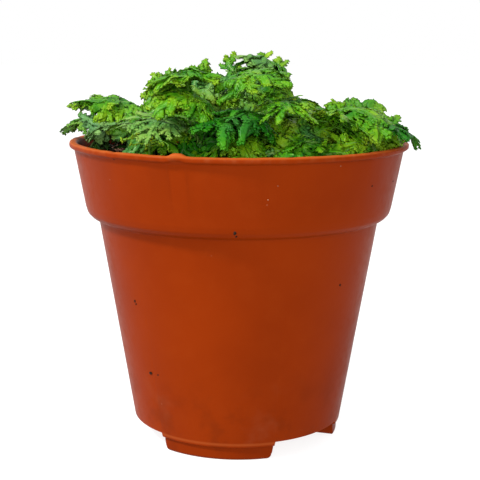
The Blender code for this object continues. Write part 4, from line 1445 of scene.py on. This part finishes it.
def pot_outside():
    """The outer side of the wall as (radius, height), from under the lip down to the feet."""
    return [
        (BAND_TOP_RADIUS, LIP_FOOT - 0.1 * MM),
        (BAND_FOOT_RADIUS, SHOULDER_TOP),
        (BAND_FOOT_RADIUS - 0.55 * MM, SHOULDER_TOP - 1.8 * MM),
        (BAND_FOOT_RADIUS - 1.75 * MM, SHOULDER_FOOT + 0.9 * MM),
        (BODY_TOP_RADIUS, SHOULDER_FOOT),
        (BODY_FOOT_RADIUS, FOOT_HEIGHT),
    ]


def pot_profile():
    lip = [
        (BAND_TOP_RADIUS - 0.5 * MM, POT_HEIGHT),
        (LIP_RADIUS - 0.5 * MM, POT_HEIGHT),
        (LIP_RADIUS, POT_HEIGHT - 0.5 * MM),
        (LIP_RADIUS - 0.1 * MM, LIP_FOOT + 0.4 * MM),
    ]
    underside = [
        (FOOT_OUTER_RADIUS, FOOT_HEIGHT),
        (FOOT_OUTER_RADIUS, FOOT_ROUNDING),
        (FOOT_OUTER_RADIUS - FOOT_ROUNDING, 0.0),
        (FOOT_INNER_RADIUS, 0.0),
        (FOOT_INNER_RADIUS, FLOOR_UNDERSIDE),
        (0.0, FLOOR_UNDERSIDE),
    ]
    return rounded_corners(pot_inside() + lip + pot_outside() + underside, CORNER_RADIUS)


def ring_rim(inner, outer, middle_deg, width_deg, steps=20):
    """The outline, seen from above, of a piece of a ring."""
    half = math.radians(width_deg) / 2
    middle = math.radians(middle_deg)
    angles = [middle - half + 2 * half * i / steps for i in range(steps + 1)]
    rim = [(inner * math.sin(a), -inner * math.cos(a)) for a in angles]
    return rim + [(outer * math.sin(a), -outer * math.cos(a)) for a in reversed(angles)]


def block_from_rims(shape, rims):
    """A closed block through outlines of as many points each, given as (height, outline) from below."""
    rings = [[shape.verts.new((x, y, z)) for x, y in rim] for z, rim in rims]
    shape.faces.new(rings[0])
    shape.faces.new(list(reversed(rings[-1])))
    for lower, upper in zip(rings, rings[1:]):
        for a, b, c, d in zip(lower, lower[1:] + lower[:1], upper[1:] + upper[:1], upper):
            shape.faces.new((a, d, c, b))


def round_block(shape, x, y, radius, low, high, sides=20):
    rim = [(x + radius * math.cos(math.tau * i / sides), y + radius * math.sin(math.tau * i / sides))
           for i in range(sides)]
    block_from_rims(shape, ((low, rim), (high, rim)))


def make_lip_uneven(pot):
    """Small waves, the moulding's burr and a nick, which fade out under the lip."""
    draw = random.Random(LIP_SEED)
    waves = [(k, draw.uniform(0, math.tau), draw.uniform(*LIP_WAVE_SIZES) * MM) for k in LIP_WAVES]
    waves += [(k, draw.uniform(0, math.tau), FINE_LIP_WAVE) for k in FINE_LIP_WAVES]
    for vertex in pot.data.vertices:
        x, y, z = vertex.co
        share = min(max((z - UNEVEN_START) / UNEVEN_RISE, 0.0), 1.0)
        if share == 0:
            continue
        angle = math.atan2(y, x)
        sway = sum(size * math.sin(k * angle + start) for k, start, size in waves)
        from_front = math.atan2(x, -y)
        burr = (from_front - math.radians(BURR_DEG)) * LIP_RADIUS / BURR_WIDTH
        nick = (from_front - math.radians(NICK_DEG)) * LIP_RADIUS / NICK_WIDTH
        rise = BURR_HEIGHT * math.exp(-burr ** 4) - NICK_DEPTH * math.exp(-nick ** 2)
        vertex.co.z = z + share * (rise - LIP_SINK - 0.7 * abs(sway))
        if share > 0.3:
            outwards = 1 + (0.5 * sway + BURR_BULGE * math.exp(-burr ** 4)) / LIP_RADIUS
            vertex.co.x, vertex.co.y = x * outwards, y * outwards


def feet_cutter():
    """What is cut away under the floor: the gaps between the feet, and the hollow in each foot."""
    shape = bmesh.new()
    pitch = 360.0 / FOOT_COUNT
    for i in range(FOOT_COUNT):
        foot = FIRST_FOOT_DEG + pitch * i
        longer = LONGER_FOOT_DEG if i == 0 else 0.0
        gap = foot + (pitch - longer) / 2
        gap_width = pitch - FOOT_WIDTH_DEG - longer
        block_from_rims(shape, [
            (height, ring_rim(FEET_CUT_INNER, FEET_CUT_OUTER, gap, gap_width + wider))
            for height, wider in [(z * MM, wider) for z, wider in FOOT_END_ROUNDING] + [(GAP_TOP, 0.0)]
        ])
        hollow = ring_rim(FOOT_INNER_RADIUS + WALL, FOOT_OUTER_RADIUS - WALL, foot, FOOT_HOLLOW_DEG)
        block_from_rims(shape, ((WALL, hollow), (FLOOR_CUT_TOP, hollow)))
    return shape


def drains_cutter():
    """The drain holes: one in each gap between the feet, and a ring of them inside the feet."""
    shape = bmesh.new()
    gaps = [FIRST_FOOT_DEG - 90 + 360 * (i + 0.5) / FOOT_COUNT for i in range(FOOT_COUNT)]
    ring = [360 * (i + 0.5) / DRAIN_COUNT for i in range(DRAIN_COUNT)]
    for radius, places_deg in ((GAP_DRAIN_RADIUS, gaps), (DRAIN_RING_RADIUS, ring)):
        for angle in map(math.radians, places_deg):
            x, y = radius * math.cos(angle), radius * math.sin(angle)
            round_block(shape, x, y, DRAIN_RADIUS, 0.0, FLOOR_CUT_TOP)
    return shape


def cut_out(piece, name, shapes):
    """The piece with the shapes cut out of it."""
    cutters = []
    for shape in shapes:
        bmesh.ops.recalc_face_normals(shape, faces=shape.faces)
        cutters.append(link_object("cutter", mesh_of("cutter", shape)))
        cut = piece.modifiers.new("cut", "BOOLEAN")
        cut.operation = "DIFFERENCE"
        cut.object = cutters[-1]
        cut.solver = "EXACT"
    made = plain_mesh(piece, name)
    for cutter in cutters:
        bpy.data.objects.remove(cutter)
    return made


def make_pot(finish):
    """The pot's one moulding, with the gaps between its feet, the feet's hollows and the drain holes."""
    pot = turned("pot_moulding", pot_profile(), POT_STEPS)
    make_lip_uneven(pot)
    pot = cut_out(pot, "pot_moulding", (feet_cutter(), drains_cutter()))
    shade_smooth(pot, 28)
    give_finish(pot, finish)
    return finish_piece(pot, "terracotta_plastic", "pot")


def wall_radius(z):
    """The pot's outer radius at a height."""
    radii, heights = np.array(pot_outside()[::-1]).T
    return float(np.interp(z, heights, radii))


def grains_on_pot(name, grains, finish):
    """Small flat lumps that sit on the pot's outer wall."""
    shape = bmesh.new()
    draw = random.Random(len(grains))
    for degrees_round, height, size in grains:
        angle, z = math.radians(degrees_round), height * MM
        place = Vector((wall_radius(z) * math.sin(angle), -wall_radius(z) * math.cos(angle), z))
        turn = Matrix.Rotation(angle, 4, "Z") @ Matrix.Rotation(draw.uniform(0, math.pi), 4, "Y")
        size *= GRAIN_SCALE * MM
        lump = Matrix.Diagonal((size, 0.45 * size, size * draw.uniform(0.6, 0.9), 1.0))
        made = bmesh.ops.create_icosphere(
            shape, subdivisions=2, radius=1.0, matrix=Matrix.Translation(place) @ turn @ lump
        )
        for vertex in made["verts"]:
            vertex.co += (vertex.co - place) * draw.uniform(-0.2, 0.2)
    made = link_object(name, mesh_of(name, shape))
    give_finish(made, finish)
    smooth_faces(made.data)
    return finish_piece(made, "potting_soil")


# Soil

def soil_bank(x, y):
    """How much higher the soil lies towards the wall at the left, where it is heaped up."""
    radius = math.hypot(x, y)
    outwards = min(max((radius - BANK_START) / (BANK_END - BANK_START), 0.0), 1.0)
    left = max(0.0, -x / max(radius, MM))
    return BANK_HEIGHT * outwards ** 1.5 * left ** 2


def fine_soil_height(x, y):
    """The soil's top with its crumbs: the solid's low mounds and finer ups and downs."""
    fine = math.sin(x * 1900 + 2 * math.sin(y * 900)) * math.sin(y * 2100 + 2 * math.sin(x * 700))
    finer = math.sin(x * 5200 + y * 3100) * math.sin(y * 4700 - x * 2600)
    return soil_height(x, y) + soil_bank(x, y) + (0.28 * fine + 0.16 * finer) * MM


def make_soil(finish):
    """The soil, clear of the pot's wall all round, with its rough top."""
    inner = pot_inside()
    edge = SOIL_LEVEL - 0.8 * MM
    side = [(radius - SOIL_GAP, height + SOIL_GAP / 2) for radius, height in inner[1:5]]
    side[0] = (inner[1][0] - SOIL_GAP, FLOOR_TOP + SOIL_GAP)
    side[1] = (inner[2][0] - 1.5 * SOIL_GAP, inner[2][1] + SOIL_GAP)
    rim = pot_inner_radius(edge) - SOIL_GAP
    side.append((rim, edge))
    top = [(rim - 0.9 * MM - SOIL_RING * i, SOIL_LEVEL) for i in range(SOIL_RINGS)]
    profile = [(0.0, FLOOR_TOP + SOIL_GAP), *side, *top, (0.0, SOIL_LEVEL)]
    soil = turned("potting_soil_bed", profile[::-1], SOIL_STEPS)
    for vertex in soil.data.vertices:
        if vertex.co.z > SOIL_LEVEL - 0.5 * MM:
            vertex.co.z = fine_soil_height(vertex.co.x, vertex.co.y)
    shade_smooth(soil, 60)
    give_finish(soil, finish)
    return finish_piece(soil, "potting_soil", "soil")


def crumb_tree():
    """Points in, small turned lumps out."""
    sizes = tuple(zip(("Smallest", "Largest"), CRUMB_SIZES))
    tree, given = growing_tree("scattered_crumbs", "Places", sizes, (), ("Finish",), "Crumbs")
    points = made_by(tree, "GeometryNodeMeshToPoints", {"Mesh": given["Places"]})
    ball = made_by(tree, "GeometryNodeMeshIcoSphere", {"Radius": 1.0, "Subdivisions": 1})
    rough = add_node(tree, "ShaderNodeTexNoise", {"Scale": 1.7, "Detail": 1.0}).outputs["Fac"]
    rise = calculated(tree, "MULTIPLY_ADD", rough, 1.6, -0.8)
    push = scaled(tree, made_by(tree, "GeometryNodeInputNormal"), rise)
    lump = made_by(tree, "GeometryNodeSetPosition", {"Geometry": ball, "Offset": push})
    turn = tree.nodes.new("FunctionNodeRandomValue")
    turn.data_type = "FLOAT_VECTOR"
    turn.inputs[1].default_value = (math.tau, math.tau, math.tau)
    tree.links.new(given["Seed"], turn.inputs["Seed"])
    size = random_value(tree, given["Smallest"], given["Largest"], plus(tree, given["Seed"], 5.0))
    flat = made_by(tree, "ShaderNodeCombineXYZ", {"X": 1.0, "Y": 0.8, "Z": 0.62})
    crumbs = made_by(tree, "GeometryNodeInstanceOnPoints", {
        "Points": points, "Instance": lump, "Rotation": turn.outputs[0], "Scale": scaled(tree, flat, size),
    })
    crumbs = made_by(tree, "GeometryNodeRealizeInstances", {"Geometry": crumbs})
    crumbs = made_by(tree, "GeometryNodeSetMaterial", {"Geometry": crumbs, "Material": given["Finish"]})
    add_node(tree, "NodeGroupOutput", {0: crumbs})
    return tree


def soil_crumbs(finish):
    draw = random.Random(CRUMB_PLACE_SEED)
    places = []
    for _ in range(CRUMB_COUNT):
        radius = CRUMB_REACH * math.sqrt(draw.random())
        angle = draw.uniform(0, math.tau)
        x, y = radius * math.cos(angle), radius * math.sin(angle)
        if radius < pot_inner_radius(SOIL_LEVEL) - 1.2 * MM:
            places.append((x, y, soil_height(x, y) + soil_bank(x, y) + draw.uniform(-0.15, 0.25) * MM))
    mesh = bpy.data.meshes.new("crumb_places")
    mesh.from_pydata(places, [], [])
    places = link_object("crumb_places", mesh)
    values = {"Seed": CRUMB_SHAPE_SEED, "Finish": finish}
    made = grown(places, "potting_soil_crumbs", crumb_tree(), values)
    smooth_faces(made.data)
    return finish_piece(made, "potting_soil")


def lay_rootlet(spline, draw, x, y):
    """Leads a rootlet from its start over the soil, a little humped, and turns it back at the wall."""
    way = draw.uniform(0, math.tau)
    count = draw.randint(7, 14)
    spline.points.add(count - 1)
    for k in range(count):
        hump = 0.7 * MM * math.sin(math.pi * k / (count - 1))
        height = fine_soil_height(x, y) + 0.1 * MM + hump * draw.uniform(0.4, 1.0)
        spline.points[k].co = (x, y, height, 1.0)
        spline.points[k].radius = draw.uniform(0.6, 1.1)
        way += draw.uniform(-0.5, 0.5)
        step = draw.uniform(0.7, 1.3) * MM
        ahead = (x + step * math.cos(way), y + step * math.sin(way))
        if math.hypot(*ahead) >= pot_inner_radius(SOIL_LEVEL) - 1.0 * MM:
            way += 2.0
            ahead = (x + step * math.cos(way), y + step * math.sin(way))
        x, y = ahead


def rootlets(finish):
    """Thin dry rootlets that lie on the soil, most of them at the left where the leaves leave it open."""
    draw = random.Random(ROOTLET_SEED)
    curve = bpy.data.curves.new("rootlets", "CURVE")
    curve.dimensions = "3D"
    curve.bevel_depth = ROOTLET_RADIUS
    curve.bevel_resolution = 1
    curve.use_fill_caps = True
    for i in range(ROOTLET_COUNT):
        if i < ROOTLETS_IN_VIEW:
            x, y = draw.uniform(-47, -33) * MM, draw.uniform(-10, 14) * MM
        else:
            angle, radius = draw.uniform(0, math.tau), ROOTLET_REACH * math.sqrt(draw.random())
            x, y = radius * math.cos(angle), radius * math.sin(angle)
        lay_rootlet(curve.splines.new("POLY"), draw, x, y)
    made = plain_mesh(link_object("rootlets", curve), "rootlets")
    give_finish(made, finish)
    smooth_faces(made.data)
    return finish_piece(made, "potting_soil")


# Stage

def make_floor(finish):
    shape = bmesh.new()
    bmesh.ops.create_circle(shape, cap_ends=True, segments=96, radius=FLOOR_RADIUS)
    floor = link_object("floor", mesh_of("floor", shape))
    give_finish(floor, finish)


def make_camera():
    """The photograph's viewpoint: a little above the leaves and in front, with a long lens."""
    data = bpy.data.cameras.new("camera")
    data.lens = LENS
    data.sensor_width = SENSOR
    camera = bpy.data.objects.new("camera", data)
    bpy.context.scene.collection.objects.link(camera)
    down = Matrix.Rotation(math.radians(90 - CAMERA_DOWN_DEG), 4, "X")
    roll = Matrix.Rotation(math.radians(CAMERA_ROLL_DEG), 4, "Z")
    camera.matrix_world = Matrix.Translation(CAMERA_PLACE) @ down @ roll
    bpy.context.scene.camera = camera


def area_light(name, place, width, power):
    data = bpy.data.lights.new(name, "AREA")
    data.shape = "DISK"
    data.size = width
    data.energy = power
    lamp = bpy.data.objects.new(name, data)
    bpy.context.scene.collection.objects.link(lamp)
    lamp.location = place
    lamp.rotation_mode = "QUATERNION"
    lamp.rotation_quaternion = (Vector(place) - Vector(LIT_POINT)).to_track_quat("Z", "Y")


def make_light():
    world = bpy.data.worlds.new("studio")
    bpy.context.scene.world = world
    world.use_nodes = True
    world.node_tree.nodes["Background"].inputs["Color"].default_value = (1.0, 1.0, 1.0, 1.0)
    world.node_tree.nodes["Background"].inputs["Strength"].default_value = 1.0
    for light in LIGHTS:
        area_light(*light)
    bpy.context.scene.view_settings.view_transform = "Standard"


def grow_plant(mottle):
    """Every frond of the solids in its own piece, then the sprays among them, some to a piece."""
    side_leaf = leaf_shape("side_leaf", SIDE_LEAF_OUTLINE, 0.07)
    tip_leaves = leaf_shape("tip_leaves", TIP_LEAF_OUTLINE, 0.06, TIP_FAN_DEG)
    growth = leaf_tree(), {
        "Side Leaf": side_leaf, "Tip Leaves": tip_leaves,
        "Leaf Finish": leaf_finish(mottle), "Stalk Finish": stalk_finish(mottle),
    }
    by_node = {}
    for name, frond, side_lobes in placed_fronds():
        frond.painted_sheen = SHEEN_FRONDS.get(frond.seed, 0.0)
        if frond.seed in SHADED_FRONDS:
            frond.fresh = DARK_FRESHNESS
        by_node.setdefault(name, []).append((frond, side_lobes))
    for number, (name, fronds) in enumerate(sorted(by_node.items())):
        leafy_piece("leafy_" + name, fronds, growth, FROND_SEED + number, name)
    groups = {"facing_sprays": facing_sprays()}
    for label, layout in SPIRAL_SPRAYS.items():
        groups[label] = settled(spray_rows(**layout))
    groups["seedling"] = seedling()
    for label, sprays in groups.items():
        for start in range(0, len(sprays), SPRAYS_A_PIECE):
            name = f"{label}_{start // SPRAYS_A_PIECE}"
            leafy_piece(name, sprays[start:start + SPRAYS_A_PIECE], growth, SPRAY_SEED + start)
    for leaf in (side_leaf, tip_leaves):
        bpy.data.objects.remove(leaf)


def main():
    mottle = mottle_group()
    specks = specks_group()
    make_camera()
    make_light()
    make_floor(floor_finish(mottle))
    soil = soil_finish(mottle, specks)
    fibre = fibre_finish(mottle)
    make_pot(pot_finish(mottle, specks))
    make_soil(soil)
    soil_crumbs(soil)
    rootlets(fibre)
    grains_on_pot("soil_grains_on_pot", DARK_GRAINS, grain_finish(mottle))
    grains_on_pot("light_grains_on_pot", LIGHT_GRAINS, fibre)
    grow_plant(mottle)


main()
